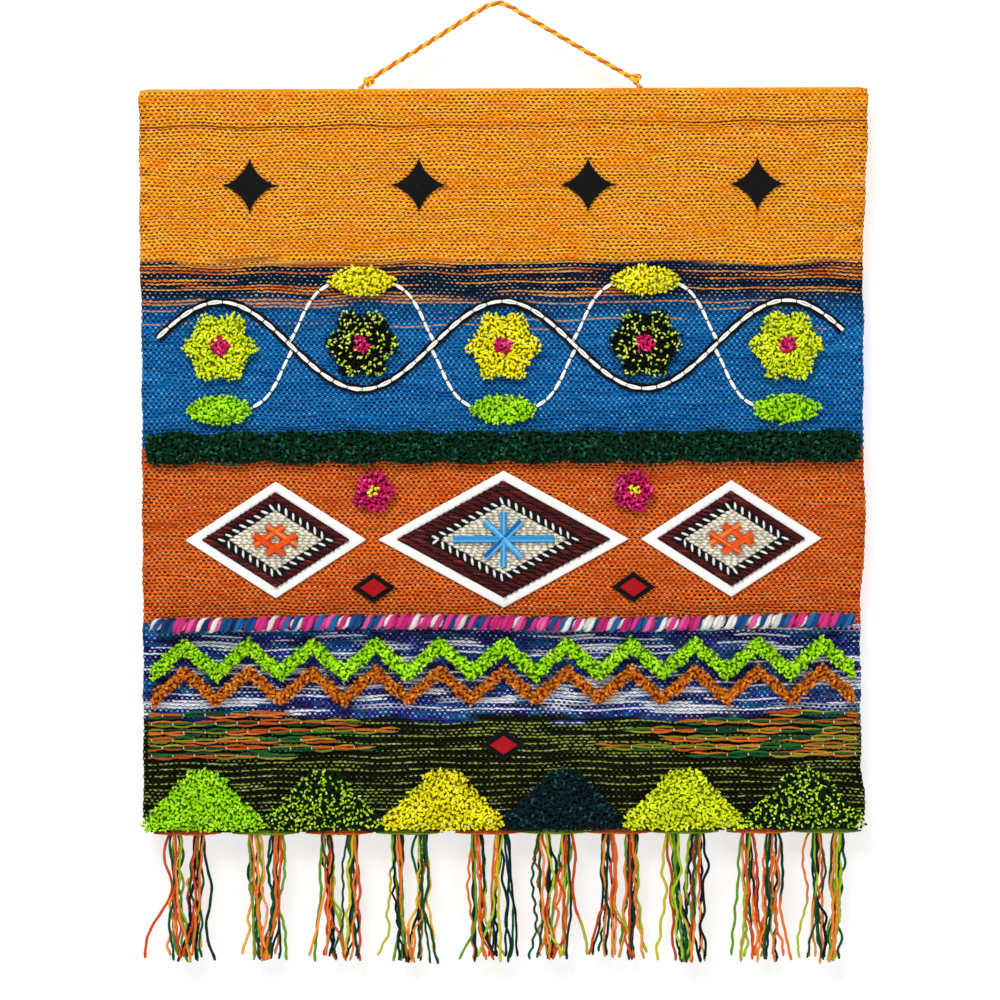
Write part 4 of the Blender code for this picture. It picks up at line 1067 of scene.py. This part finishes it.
def chosen_dyes(dye, count, draw):
    """A dye for each tuft from the few shades of one yarn, and its size for its kind."""
    kind = draw.choice(3, count, p=PILE_SHARES.get(dye, PLAIN_SHARES))
    speck = SPECK_SIZE if dye in PILE_SHARES else 1.0
    return dyed(PILE_DYES[dye])[kind], np.where(kind > 0, speck, 1.0)


def pile_bed(rings, dye):
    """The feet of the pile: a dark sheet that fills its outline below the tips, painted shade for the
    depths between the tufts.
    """
    points, index, walls = walled(rings, inside_out=True)
    tint = np.broadcast_to(dyed(PILE_DYES[dye][0]) * BED_PAINTED_SHADE, points.shape)
    return points, [walls, index[-1:], index[:1, ::-1]], tint, points / MM


def mound_of_pile(u, drop, outline, dye, seed, height=PILE_HEIGHT, heart=None):
    """A mound of tufts over an outline, with a heart of another colour if it has one."""
    draw = np.random.default_rng(seed)
    angle = np.arctan2(outline[:, 1], outline[:, 0])
    order = np.argsort(angle)
    angle, edge = angle[order], np.linalg.norm(outline, axis=1)[order]
    places = knotting_places(np.abs(outline[:, 0]).max(), np.abs(outline[:, 1]).max(), draw)
    out = np.linalg.norm(places, axis=1)
    share = out / np.interp(np.arctan2(places[:, 1], places[:, 0]), angle, edge, period=2 * np.pi)
    keep = share < 0.99
    places, share, out = places[keep], share[keep], out[keep]
    top = domed(height, share)
    lean = places / np.maximum(out, 1e-6)[:, None] * (MOUND_LEAN * share ** 4)[:, None]
    dyes, size = chosen_dyes(dye, len(places), draw)
    if heart:
        middle = out < heart[1] * (1 + 0.2 * draw.random(len(out)))
        dyes[middle], size[middle] = chosen_dyes(heart[0], middle.sum(), draw)
    low, high = SEWN_GAP + 0.25 * top, SEWN_GAP + top + SPECK_STANDS * (size < 1)
    rings = [laid(outline * part, u, drop, SEWN_GAP + height * lift) for part, lift in MOUND_BED]
    return [
        tufts(u + places[:, 0], drop + places[:, 1], low, high, lean, dyes, draw, share, size),
        pile_bed(rings, dye),
    ]


def strip_of_pile(drop, field, middle_at, half_at, side, dye, seed, height=PILE_HEIGHT):
    """A long strip of tufts along a middle line, of a given half width, and the dark sheet of painted shade
    at their feet.
    """
    draw = np.random.default_rng(seed)
    places = knotting_places(side, field, draw)
    u, down = places[:, 0], drop + places[:, 1]
    share = (down - middle_at(u)) / half_at(u)
    keep = np.abs(share) < 0.97
    u, down, share = u[keep], down[keep], share[keep]
    top = domed(height, np.abs(share))
    lean = np.stack([0 * u, STRIP_LEAN * np.sign(share) * share ** 4], axis=1)
    dyes, _ = chosen_dyes(dye, len(u), draw)
    low, high = SEWN_GAP + 0.25 * top, SEWN_GAP + top
    along = np.linspace(-side, side, 400)
    rings = [
        on_cloth(along, middle_at(along) + half_at(along) * part, SEWN_GAP + height * lift)
        for part, lift in STRIP_BED
    ]
    feet = pile_bed(np.stack(rings, axis=1), dye)
    return [tufts(u, down, low, high, lean, dyes, draw, np.abs(share)), feet]


def add_pile(name, parts, node):
    """Hangs a finished patch of pile in place of its plain node."""
    return add_piece(name, parts, pile_wool, [node])


pile_wool = wool("knotted pile wool", sheen=0.03, streak=0.30, relief=0.3)
FLOWER_REACH = 22.5 * MM
FLOWER_HEART = ("pink", 5.5 * MM)
LEAF_HALF = (23 * MM, 9.5 * MM)
LEAF_OUT = 44 * MM
FLOWER_DYES = ("yellow_lime", "speckled", "yellow", "speckled", "yellow_lime")
LEAF_DYES = ("lime", "yellow", "lime", "yellow", "lime")
angle = 2 * np.pi * np.arange(48) / 48
pinch = np.sign(np.sin(angle)) * np.abs(np.sin(angle)) ** 1.3
leaf = np.stack([LEAF_HALF[0] * np.cos(angle), LEAF_HALF[1] * pinch], axis=1)
flower = petalled(FLOWER_REACH, 6, 0.11)
for k, (flower_dye, leaf_dye) in enumerate(zip(FLOWER_DYES, LEAF_DYES)):
    u = (k - 2) * VINE_HALF_WAVE
    inner = 1 if k % 2 == 0 else -1
    parts = mound_of_pile(u, VINE_DROP + inner * MM, flower, flower_dye, 200 + k, heart=FLOWER_HEART)
    add_pile(f"flower_tufts_{k + 1}", parts, f"flower_{k + 1}")
    parts = mound_of_pile(u, VINE_DROP + inner * LEAF_OUT, leaf, leaf_dye, 210 + k, 0.8 * PILE_HEIGHT)
    add_pile(f"leaf_tufts_{k + 1}", parts, f"leaf_{k + 1}")


# Green band. One narrow strip of dark green pile knotted right across the cloth where the blue meets
# the rust, with a scalloped outline.
BAND_DROP = 246 * MM
BAND_HALF = 8.8 * MM
BAND_FIELD = 12 * MM
BAND_SCALLOP = 2.6 * MM
BAND_SCALLOPS = 12
BAND_SIDE = 244 * MM


def band_middle(u):
    """The level middle line of the band."""
    return BAND_DROP + 0 * u


def band_half(u):
    """Half the band's width, which swells at each scallop."""
    return BAND_HALF + BAND_SCALLOP * np.abs(np.sin(np.pi * BAND_SCALLOPS * (u / BAND_SIDE + 1) / 2))


parts = strip_of_pile(BAND_DROP, BAND_FIELD, band_middle, band_half, BAND_SIDE, "dark_green", 220)
add_pile("band_tufts", parts, "green_band")


# Zigzags. Two strips of knotted pile, lime over orange, that run side by side across the cloth and
# turn at the same places.
ZIGZAGS = (
    # name, drop, half width, dye, seed
    ("zigzag_lime", 391, 5.8, "lime", 232), ("zigzag_orange", 409, 4.6, "orange", 184),
)
ZIGZAG_SWING = 9.5 * MM
ZIGZAG_FIELD = 18 * MM
ZIGZAG_PEAKS = 11
ZIGZAG_SIDE = 240 * MM
for name, drop, half, dye, seed in ZIGZAGS:
    def zigzag_middle(u, drop=drop):
        step = (u / ZIGZAG_SIDE + 1) / 2 * ZIGZAG_PEAKS * 4
        return drop * MM - (np.abs((step + 2) % 4 - 2) - 1) * ZIGZAG_SWING

    def zigzag_half(u, half=half):
        return half * MM + 0 * u

    parts = strip_of_pile(
        drop * MM, ZIGZAG_FIELD, zigzag_middle, zigzag_half, ZIGZAG_SIDE, dye, seed, 0.9 * PILE_HEIGHT,
    )
    add_pile(name + "_tufts", parts, name)


# Blossoms. Two small pink mounds of pile with yellow hearts, knotted into the rust over the gaps
# between the lozenges.
BLOSSOMS = (-89, 89)
BLOSSOM_DROP = 276 * MM
BLOSSOM_REACH = 13 * MM
BLOSSOM_HEART = ("yellow", 3.2 * MM)
blossom = petalled(BLOSSOM_REACH, 5, 0.08)
for k, middle in enumerate(BLOSSOMS):
    parts = mound_of_pile(middle * MM, BLOSSOM_DROP, blossom, "pink", 230 + k, heart=BLOSSOM_HEART)
    add_pile(f"blossom_tufts_{k + 1}", parts, f"blossom_{k + 1}")


# Border. A row of round-topped mounds of knotted pile along the bottom edge, each in its own colour
# and just clear of the next.
BORDER_DROP = 507 * MM
BORDER_TALL = 42 * MM
BORDER_SIDE = 247 * MM
BORDER_APART = 0.9 * MM
BORDER_HEART = 0.40
BORDER_DYES = ("lime", "flecked", "yellow", "teal", "yellow_lime", "flecked")
BORDER_SHAPE = ((0.97, 0.22), (0.72, 0.44), (0.46, 0.70), (0.2, 0.94))
border_wide = 2 * BORDER_SIDE / len(BORDER_DYES)
half = border_wide / 2 - BORDER_APART
right = [(share * half, BORDER_HEART * BORDER_TALL) for share in (0, 0.25, 0.5, 0.75, 1)]
right += [(share * half, (BORDER_HEART - lift) * BORDER_TALL) for share, lift in BORDER_SHAPE]
left = [(-across, down) for across, down in reversed(right[1:])]
outline = smooth_route(right + left + right[:1], 2 * MM)[:-1]
for k, dye in enumerate(BORDER_DYES):
    u = -BORDER_SIDE + border_wide * (k + 0.5)
    parts = mound_of_pile(u, BORDER_DROP - BORDER_HEART * BORDER_TALL, outline, dye, 240 + k)
    add_pile(f"border_tufts_{k + 1}", parts, f"border_{k + 1}")


# Lozenges. White tape laid round a ring of maroon wool in long slanted stitches, then a black braid
# overcast in white, a cream middle in shorter stitches, and flat wrapped straps across the cream.
LOZENGES = (
    # name, middle, half width, half height, maroon width
    ("left", -156, 62, 40, 9.5), ("middle", 0, 86, 47, 13.5), ("right", 156, 62, 40, 9.5),
)
LOZENGE_DROP = 309 * MM
TAPE_WIDE = 6.2 * MM
TAPE_THICK = 1.4 * MM
TAPE_WHITE = (252, 252, 250)
FLAT_PROFILE = (
    # share of the width, share of the thickness
    (0, 0.0), (0, 0.75), (0.06, 1.0), (0.3, 0.94), (0.5, 0.96), (0.7, 0.94), (0.94, 1.0), (1, 0.75),
    (1, 0.0),
)
SOUMAK_THICK = 3.2 * MM
SOUMAK_STITCH = (2.15 * MM, 8.5 * MM)
MAROON_DYES = ((108, 18, 18), (82, 8, 8), (136, 42, 38))
# The ground under the maroon stitches is dark: painted shade between them.
MAROON_SHADED_GROUND = (50, 6, 6)
MAROON_GROUND_THICK = 2.0 * MM
MAROON_CLEAR = 0.3 * MM
CREAM_THICK = 3.0 * MM
CREAM_STITCH = (2.0 * MM, 4.6 * MM)
CREAM_DYES = ((252, 246, 226), (240, 233, 210), (255, 252, 240))
# The ground under the cream stitches is greyer: painted shade between them.
CREAM_SHADED_GROUND = (206, 198, 170)
CREAM_GROUND_THICK = 2.1 * MM
CREAM_CLEAR = 0.4 * MM
STITCH_PROFILE = np.array((0.45, 0.92, 1.12, 1.10, 0.9, 0.42))
BRAID_WIDE = 4.6 * MM
BRAID_THICK = SOUMAK_THICK + 0.1 * MM
BRAID_BLACK = (14, 13, 14)
TICK_EVERY = 5.8 * MM
TICK_REACH = 0.92 * BRAID_WIDE
TICK_THICK = 0.98 * MM
TICK_PROFILE = np.array((0.55, 0.85, 1, 1.02, 1, 0.85, 0.55))[None]
STRAP_WIDE = 4.6 * MM
STRAP_THICK = 2.6 * MM
STRAP_ROUND = 0.42
STRAP_END = 0.35 * MM
STRAP_CLEAR = 0.1 * MM
STRAP_LIFT = 0.32 * MM
STRAP_REACH = 0.8
STRAP_SHARES = (0.44, 0.28, 0.28)
STRAP_DYES = {
    "wrapped_blue": ((44, 146, 214), (14, 92, 164), (108, 200, 246)),
    "wrapped_orange": ((244, 88, 22), (206, 56, 8), (255, 134, 62)),
}
LATTICE_SPREAD = 0.24
LATTICE_REACH = 0.56
LATTICE_SIZE = 0.72


def inset(size, distance):
    """The half sizes of a lozenge drawn in by a distance all round."""
    slant = math.hypot(*size)
    return size[0] - distance * slant / size[1], size[1] - distance * slant / size[0]


def flat_band(u, outer, wide, thick, dye):
    """Four lengths of flat tape or braid that meet at a lozenge's points."""
    out_line, in_line = diamond(*outer, 40), diamond(*inset(outer, wide), 40)
    step = np.arange(len(out_line))
    rows = []
    for share, lift in FLAT_PROFILE:
        ripple = 0.05 * MM * np.sin(step * 0.9 + share * 3) * lift
        line = out_line * (1 - share) + in_line * share
        rows.append(laid(line, u, LOZENGE_DROP, SEWN_GAP + thick * lift + ripple))
    points, index, faces = walled(rows)
    # The tape's and braid's side walls are darker: painted shade.
    shade = np.ones(index.shape)
    shade[[0, -1]] = 0.8
    grain = np.stack(np.broadcast_arrays(step * 0.35, np.array(FLAT_PROFILE)[:, :1] * 9, 0.0), axis=-1)
    return points, [faces[:, ::-1]], dyed(dye) * shade.reshape(-1, 1), grain.reshape(-1, 3)


def rows_of_stitches(u, outer, inner, thick, stitch, dyes, draw, slant, end_shade):
    """Long soft stitches (pitch, length) in level rows that fill a lozenge, or a ring of one."""
    pitch, length = stitch
    near, far, rows = [], [], []
    count = int(2 * outer[1] / pitch)
    for row in range(count + 1):
        down = -outer[1] + (row + 0.5) * 2 * outer[1] / (count + 1)
        out = outer[0] * (1 - abs(down) / outer[1])
        hole = inner[0] * (1 - abs(down) / inner[1]) if inner and abs(down) < inner[1] else 0
        for left, right in ([(-out, -hole), (hole, out)] if hole else [(-out, out)]):
            if right - left < 1.2 * MM:
                continue
            stitches = max(1, round((right - left) / length + draw.uniform(-0.3, 0.3)))
            cuts = np.linspace(left, right, stitches + 1)
            cuts[1:-1] += draw.uniform(-0.22, 0.22, stitches - 1) * length
            near += list(cuts[:-1])
            far += list(cuts[1:])
            rows += [down] * stitches
    near, far, rows = (np.array(x)[:, None] for x in (near, far, rows))
    one_each = (len(near), 1)
    t = np.linspace(0, 1, 6)[None]
    across = near - 0.1 * MM + (far - near + 0.2 * MM) * t
    down = rows + slant * pitch * (t - 0.5) * 2 + draw.normal(0, 0.10, one_each) * pitch
    radius = 0.5 * pitch * STITCH_PROFILE * draw.uniform(0.92, 1.12, one_each)
    rise = SEWN_GAP + thick - 0.5 * pitch + 0.25 * pitch * np.sin(np.pi * t)
    rise = rise + draw.normal(0, 0.08, one_each) * pitch
    shades = dyed(dyes)[draw.choice(3, len(near), p=PLAIN_SHARES)]
    tint = shades[:, None, None] * draw.uniform(0.85, 1.15, one_each + (1, 1))
    # Each stitch is darker at both ends, where it dives into the ground, as painted shade, and a little
    # lighter along its crown as a painted highlight.
    tint = tint * np.array((end_shade, 0.9, 1.05, 1.05, 0.9, end_shade))[None, :, None, None]
    paths = on_cloth(u + across, LOZENGE_DROP + down, rise)
    return spun(paths, radius, tint, 6, plies=2, lobe=0.08, pitch=5 * MM)


def stitch_ground(u, size, proud, dye):
    """The flat ground that the stitches are worked over, darker than the stitches: painted shade between
    them.
    """
    line = diamond(*size, 8)
    proud = SEWN_GAP + proud
    levels = ((1, 0.1 * MM), (1, proud), (0.5, proud))
    rings = [laid(line * share, u, LOZENGE_DROP, lift) for share, lift in levels]
    points, index, faces = walled(rings, inside_out=True)
    return points, [faces, index[-1:]], np.broadcast_to(dyed(dye), points.shape), points / MM


def laid_bars(bars, u, base, dyes, draw):
    """Flat straps with square ends, their yarns laid lengthwise, each from one (across, down) on."""
    parts = []
    turn = np.linspace(0, np.pi, 13)
    lane_at = np.arange(13)
    across = np.cos(turn) / np.abs(np.cos(turn)).max()
    across = np.sign(across) * np.abs(across) ** STRAP_ROUND * STRAP_WIDE / 2
    up = np.sin(turn) ** STRAP_ROUND * STRAP_THICK * (1 - 0.09 * (lane_at % 2 == 0))
    for order, (start, end) in enumerate(bars):
        start, end = np.array(start), np.array(end)
        length = np.linalg.norm(end - start)
        ahead = (end - start) / length
        steps = max(8, int(length / (0.9 * MM)))
        t = np.r_[0, STRAP_END / length, np.linspace(0, 1, steps)[1:-1], 1 - STRAP_END / length, 1]
        size = np.r_[0.90, 1, np.ones(len(t) - 4), 1, 0.90] * (1 + 0.02 * np.sin(t * 40))
        beside = np.array((-ahead[1], ahead[0])) * (across[None] * size[:, None])[..., None]
        track = (start + (end - start) * t[:, None])[:, None] + beside
        rise = base + STRAP_LIFT * (order % 2) + up[None] * size[:, None]
        points, index, walls = walled(laid(track, u, LOZENGE_DROP, rise))
        lane = dyed(dyes)[draw.choice(3, len(turn), p=STRAP_SHARES)]
        # Each strap darker towards its rounded sides: painted shade.
        lane = lane * (0.55 + 0.45 * np.sin(turn) ** 0.5)[:, None]
        tint = np.broadcast_to(lane, index.shape + (3,)).reshape(-1, 3)
        grain = np.broadcast_arrays(t[:, None] * length / MM * 0.25, lane_at[None] * 0.9, 3.0 * order)
        grain = np.stack(grain, axis=-1).reshape(-1, 3)
        parts.append((points, [walls, index[:1], index[-1:, ::-1]], tint, grain))
    return parts


def slanted_stitches(u, size, base, draw):
    """White slanted stitches along a lozenge's four sides."""
    line = diamond(*size, 30)
    loop = smooth_route(np.vstack([line, line[:1]]), TICK_EVERY)[:-1]
    ahead = unit(np.roll(loop, -1, axis=0) - loop)
    inward = np.stack([-ahead[:, 1], ahead[:, 0]], axis=1)
    inward *= -np.sign((inward * loop).sum(axis=1))[:, None]
    t = np.linspace(-0.5, 0.5, 7)[None, :, None]
    track = loop[:, None] + (inward * TICK_REACH + ahead * 0.75 * TICK_REACH)[:, None] * t
    paths = laid(track, u, LOZENGE_DROP, base + 0.35 * MM * np.cos(np.pi * t[..., 0]))
    radius = TICK_THICK * TICK_PROFILE * draw.uniform(0.9, 1.08, (len(loop), 1))
    return spun(paths, radius, dyed(TAPE_WHITE), 7, plies=2, lobe=0.1, pitch=5 * MM)


def crossed_bars(reach):
    """Four straps through a lozenge's middle, each from side to side."""
    bars = []
    for k in range(4):
        cos, sin = math.cos(math.pi / 4 * k), math.sin(math.pi / 4 * k)
        far = 1 / (abs(cos) / reach[0] + abs(sin) / reach[1])
        bars.append(((-far * cos, -far * sin), (far * cos, far * sin)))
    return bars


def latticed_bars(reach):
    """Two pairs of straps along a lozenge's sides, which cross in a small lattice."""
    slant = math.hypot(*reach)
    across, down = (LATTICE_SIZE * half / slant for half in reach)
    near, far = LATTICE_SPREAD * slant, LATTICE_REACH * slant
    lines = [((s, -far), (s, far)) for s in (-near, near)] + [((-far, t), (far, t)) for t in (-near, near)]
    return [tuple(((s - t) * across, (s + t) * down) for s, t in line) for line in lines]


tape_cotton = wool("white cotton tape", roughness=0.8, sheen=0.0, streak=0.16, relief=0.35, grain=2.2)
soumak_wool = wool("soumak wool", sheen=0.12, streak=0.45, relief=0.45)
strap_wool = wool("wrapping yarn", roughness=0.75, sheen=0.08, streak=0.35, relief=0.35)
for name, middle, half_wide, half_tall, maroon in LOZENGES:
    draw = np.random.default_rng(300 + middle % 7)
    u = middle * MM
    outer = (half_wide * MM, half_tall * MM)
    ring = inset(inset(outer, TAPE_WIDE), MAROON_CLEAR)
    middle_size = inset(ring, maroon * MM)
    braid = inset(middle_size, -BRAID_WIDE)
    cream = inset(middle_size, CREAM_CLEAR)
    tick_line = inset(middle_size, -0.5 * BRAID_WIDE)
    tape = [flat_band(u, outer, TAPE_WIDE, TAPE_THICK, TAPE_WHITE)]
    add_piece(f"laid_tape_{name}", tape, tape_cotton, [f"tape_{name}"])
    parts = [
        stitch_ground(u, ring, MAROON_GROUND_THICK, MAROON_SHADED_GROUND),
        rows_of_stitches(u, ring, braid, SOUMAK_THICK, SOUMAK_STITCH, MAROON_DYES, draw, 0.35, 0.7),
    ]
    add_piece(f"maroon_stitches_{name}", parts, soumak_wool, [f"maroon_{name}"])
    parts = [
        stitch_ground(u, cream, CREAM_GROUND_THICK, CREAM_SHADED_GROUND),
        rows_of_stitches(u, cream, None, CREAM_THICK, CREAM_STITCH, CREAM_DYES, draw, 0.15, 0.8),
    ]
    add_piece(f"cream_stitches_{name}", parts, soumak_wool, [f"cream_{name}"])
    parts = [
        flat_band(u, braid, BRAID_WIDE, BRAID_THICK, BRAID_BLACK),
        slanted_stitches(u, tick_line, SEWN_GAP + SOUMAK_THICK, draw),
    ]
    add_piece(f"edge_braid_{name}", parts, soumak_wool)
    reach = (STRAP_REACH * cream[0], STRAP_REACH * cream[1])
    bars = crossed_bars(reach) if name == "middle" else latticed_bars(reach)
    slot = "wrapped_blue" if name == "middle" else "wrapped_orange"
    straps = laid_bars(bars, u, SEWN_GAP + CREAM_THICK + STRAP_CLEAR, STRAP_DYES[slot], draw)
    add_piece(f"laid_straps_{name}", straps, strap_wool, [f"straps_{name}"])


# Garland. Two thick soft rovings of four slack yarns each, dyed pink, white and blue by turns, twisted
# into a rope that is laid right across the cloth and stitched down from behind.
GARLAND_DROP = 366 * MM
GARLAND_THICK = 12 * MM
GARLAND_PITCH = 16 * MM
GARLAND_SIDE = 241 * MM
GARLAND_SAG = 1.2 * MM
GARLAND_STEP = 1.4 * MM
GARLAND_APART = 0.27
ROVING_THICK = 0.5 * GARLAND_THICK
ROVING_APART = 0.30
ROVING_YARN = 1.34 * MM
ROVING_PITCH = 2.2 * GARLAND_PITCH
ROVING_DYES = (
    ((226, 52, 140), (240, 96, 170), (206, 34, 118)),
    ((244, 240, 236), (232, 228, 222), (240, 196, 214)),
    ((14, 78, 142), (8, 50, 104), (26, 108, 178)),
)
ROVING_SHARES = (0.38, 0.27, 0.35)
SHADE_SHARES = (0.6, 0.2, 0.2)
MINGLED_SHARES = (0.6, 0.4)

garland_wool = wool("garland roving", sheen=0.1, streak=0.35, relief=0.35, grain=2.2)
draw = np.random.default_rng(500)
garland_u = np.linspace(-GARLAND_SIDE, GARLAND_SIDE, 120)
garland_drop = GARLAND_DROP + GARLAND_SAG * np.sin(5 * garland_u / GARLAND_SIDE)
rope_line = smooth_route(on_cloth(garland_u, garland_drop, SEWN_GAP + GARLAND_THICK / 2), GARLAND_STEP)
around = runs_of(rope_line[None])[0] / GARLAND_PITCH
from_end = np.minimum(np.arange(len(rope_line)), np.arange(len(rope_line))[::-1])
tapered = np.clip(from_end / 4, 0.3, 1)
parts = []
rovings = twisted_plies(rope_line, GARLAND_THICK, GARLAND_PITCH, 2, GARLAND_APART)
for number, roving in enumerate(rovings):
    turn = around + number / 2
    front = 0.5 + 0.5 * np.sin(2 * np.pi * turn)
    lobe = np.floor(turn + 0.25).astype(int)
    lobes = lobe.max() + 2
    swell = (0.50 + 0.86 * front ** 2.4) * draw.uniform(0.86, 1.14, lobes)[lobe]
    first = draw.choice(3, lobes, p=ROVING_SHARES)[lobe]
    yarns = twisted_plies(roving, ROVING_THICK, ROVING_PITCH, 4, ROVING_APART)
    yarns = roving[None] + (yarns - roving[None]) * swell[None, :, None]
    shade = draw.choice(3, (4, lobes), p=SHADE_SHARES)[:, lobe]
    second = (first + draw.choice((1, 2), lobes)[lobe]) % 3
    mingled = draw.choice((0, 1), (4, lobes), p=MINGLED_SHARES)[:, lobe]
    tint = dyed(ROVING_DYES)[np.where(mingled, second, first), shade] * draw.uniform(0.78, 1.08, (4, 1, 1))
    # Darker where each roving turns to the back between the lobes: painted shade.
    tint = tint * (0.12 + 0.88 * np.clip((front - 0.40) * 2.4, 0, 1))[None, :, None]
    parts.append(spun(yarns, (ROVING_YARN * swell * tapered)[None], tint[:, :, None], 7))
add_piece("twisted_garland", parts, garland_wool, ["garland"])


# Couched stripes. Slack yarns in orange, green and olive laid along the weft at both sides of the
# lowest band, three to a row, and tied down with single white stitches that pinch them.
STRIPE_ROWS = (
    # drop, left row's inner end, right row's inner end
    (429.0, -150, 186), (434.6, -96, 120), (440.2, -72, 84), (445.8, -118, 104), (451.4, -84, 66),
    (457.0, -142, 128),
)
STRIPE_SIDE = 244
STRIPE_RAGGED = 7
STRIPE_STEP = 1.8 * MM
STRIPE_TAPER = 4 * MM
STRIPE_YARN = 0.98 * MM
STRIPE_TIE = 14.6 * MM
STRIPE_TIE_RISE = 1.75 * MM
STRIPE_THREAD = 0.36 * MM
STRIPE_THREAD_DYE = (240, 236, 214)
STRIPE_DYES = (
    (206, 92, 26), (226, 126, 36), (34, 112, 44), (150, 146, 36), (16, 74, 44), (188, 170, 44),
)
STRIPE_SHARES = (0.26, 0.16, 0.20, 0.16, 0.14, 0.08)

draw = np.random.default_rng(600)
stripes, ties = [], []
for row, (drop, left_end, right_end) in enumerate(STRIPE_ROWS):
    shift = 0.5 * (row % 2)
    for hand, inner in ((-1, -left_end), (1, right_end)):
        for lane in (-1, 0, 1):
            start = (inner + draw.uniform(-STRIPE_RAGGED, STRIPE_RAGGED)) * MM
            u = np.arange(start, STRIPE_SIDE * MM, STRIPE_STEP)
            phase = u / STRIPE_TIE + shift + 0.10 * np.sin(u / MM / 23 + 2.1 * row)
            segment = np.floor(phase).astype(int) - int(phase[0])
            open_out = np.abs(np.sin(np.pi * phase)) ** 0.75
            slack = open_out * draw.uniform(0.55, 1.25, segment.max() + 1)[segment]
            place = lane * (0.75 + 0.80 * slack) + 0.55 * np.sin(phase * 2.3 + 2.6 * lane + row)
            down = (drop + place + 0.45 * np.sin(u / MM / 37 + row)) * MM
            rise = SEWN_GAP + (0.5 + (0.75 + 0.45 * (lane == 0)) * slack) * MM
            picks = draw.choice(len(STRIPE_DYES), segment.max() // 2 + 1, p=STRIPE_SHARES)
            tint = dyed(STRIPE_DYES)[picks[segment // 2]] * draw.uniform(0.85, 1.12)
            thick = STRIPE_YARN * (0.78 + 0.26 * open_out) * np.clip((u - u[0]) / STRIPE_TAPER, 0.3, 1)
            path = on_cloth(hand * u, down, rise)[None]
            yarn = spun(path, thick[None], tint[None, :, None], 6, plies=2, lobe=0.08, pitch=11 * MM)
            stripes.append(yarn)
        first = math.ceil(inner * MM / STRIPE_TIE + shift) + 1
        last = int((STRIPE_SIDE - 1) * MM / STRIPE_TIE + shift)
        at = ((np.arange(first, last + 1) - shift) * STRIPE_TIE)[:, None]
        t = np.linspace(0, np.pi, 6)[None]
        down = (drop + 0.45 * np.sin(at / MM / 37 + row) + 0.8 * np.cos(t)) * MM
        tie = on_cloth(hand * at + 0.2 * MM * np.cos(t), down, SEWN_GAP + STRIPE_TIE_RISE * np.sin(t))
        ties.append(spun(tie, STRIPE_THREAD, dyed(STRIPE_THREAD_DYE), 5, facing=(1.0, 0.2, 0.1)))
add_piece("couched_stripes", stripes, couched_wool)
add_piece("stripe_ties", ties, sewing_wool)


# Where it hangs. A plain white wall close behind, which shows from the front only, a pale floor well
# below, soft light from above the left shoulder and weaker light from the right and from behind.
WALL_BEHIND = 16 * MM
WALL_SIDE = 3
WALL_TOP = 2
WALL_WHITE = 0.42
WALL_GLOW = 0.64
FLOOR_DOWN = -1.05
FLOOR_SIDE = 4
FLOOR_WHITE = 0.85
HANGING_MIDDLE = (0.0, 0.0, -0.33)
LIGHTS = (
    # name, place, size, power
    ("window_light", (-0.6, -1.7, 1.25), 0.8, 40),
    ("fill_light", (1.3, -1.7, -0.2), 1.2, 8),
    ("rear_light", (0.6, 1.9, 0.5), 1.0, 30),
)
ROOM_LIGHT = 0.28
ROOM_SEEN = 1.0


def pale(name, white, glow=0.0):
    """Plain pale paint. Where it glows a little in itself, it is clear from behind."""
    paint_white = (white, white, white, 1)
    material, tree = plain_finish(name, Base_Color=paint_white, Roughness=1.0, Specular_IOR_Level=0.0)
    if glow:
        shader = tree.nodes["Principled BSDF"]
        shader.inputs["Emission Color"].default_value = (1, 1, 1, 1)
        shader.inputs["Emission Strength"].default_value = glow
        clear = add_node(tree, "BsdfTransparent")[0]
        behind = add_node(tree, "NewGeometry")["Backfacing"]
        shown = add_node(tree, "MixShader", i0=behind, i1=shader.outputs[0], i2=clear)[0]
        tree.links.new(shown, tree.nodes["Material Output"].inputs["Surface"])
    return material


def flat_sheet(name, corners, material):
    """A single four-cornered face outside the hanging itself."""
    mesh = bpy.data.meshes.new(name)
    mesh.from_pydata(corners, [], [(0, 1, 2, 3)])
    mesh.materials.append(material)
    sheet = bpy.data.objects.new(name, mesh)
    bpy.context.scene.collection.objects.link(sheet)
    return sheet


in_turn = ((-1, -1), (1, -1), (1, 1), (-1, 1))
wall_corners = [(x * WALL_SIDE, WALL_BEHIND, WALL_TOP if z > 0 else FLOOR_DOWN) for x, z in in_turn]
wall = flat_sheet("wall", wall_corners, pale("wall paint", WALL_WHITE, WALL_GLOW))
wall.visible_shadow = False
floor_corners = [(x * FLOOR_SIDE, y * FLOOR_SIDE, FLOOR_DOWN) for x, y in in_turn]
flat_sheet("floor", floor_corners, pale("pale floor", FLOOR_WHITE))

for name, place, size, power in LIGHTS:
    light = bpy.data.objects.new(name, bpy.data.lights.new(name, "AREA"))
    light.data.size = size
    light.data.energy = power
    light.location = place
    x, y, z = np.array(HANGING_MIDDLE) - place
    light.rotation_euler = (math.atan2(math.hypot(x, y), -z), 0, math.atan2(y, x) - math.pi / 2)
    bpy.context.scene.collection.objects.link(light)

world = bpy.data.worlds.new("pale room")
bpy.context.scene.world = world
world.use_nodes = True
room = world.node_tree
glow = room.nodes["Background"]
glow.inputs["Color"].default_value = (1, 1, 1, 1)
seen = add_node(room, "LightPath")["Is Camera Ray"]
room.links.new(ranged(room, seen, 0.0, 1.0, ROOM_LIGHT, ROOM_SEEN), glow.inputs["Strength"])
bpy.context.scene.view_settings.view_transform = "Standard"
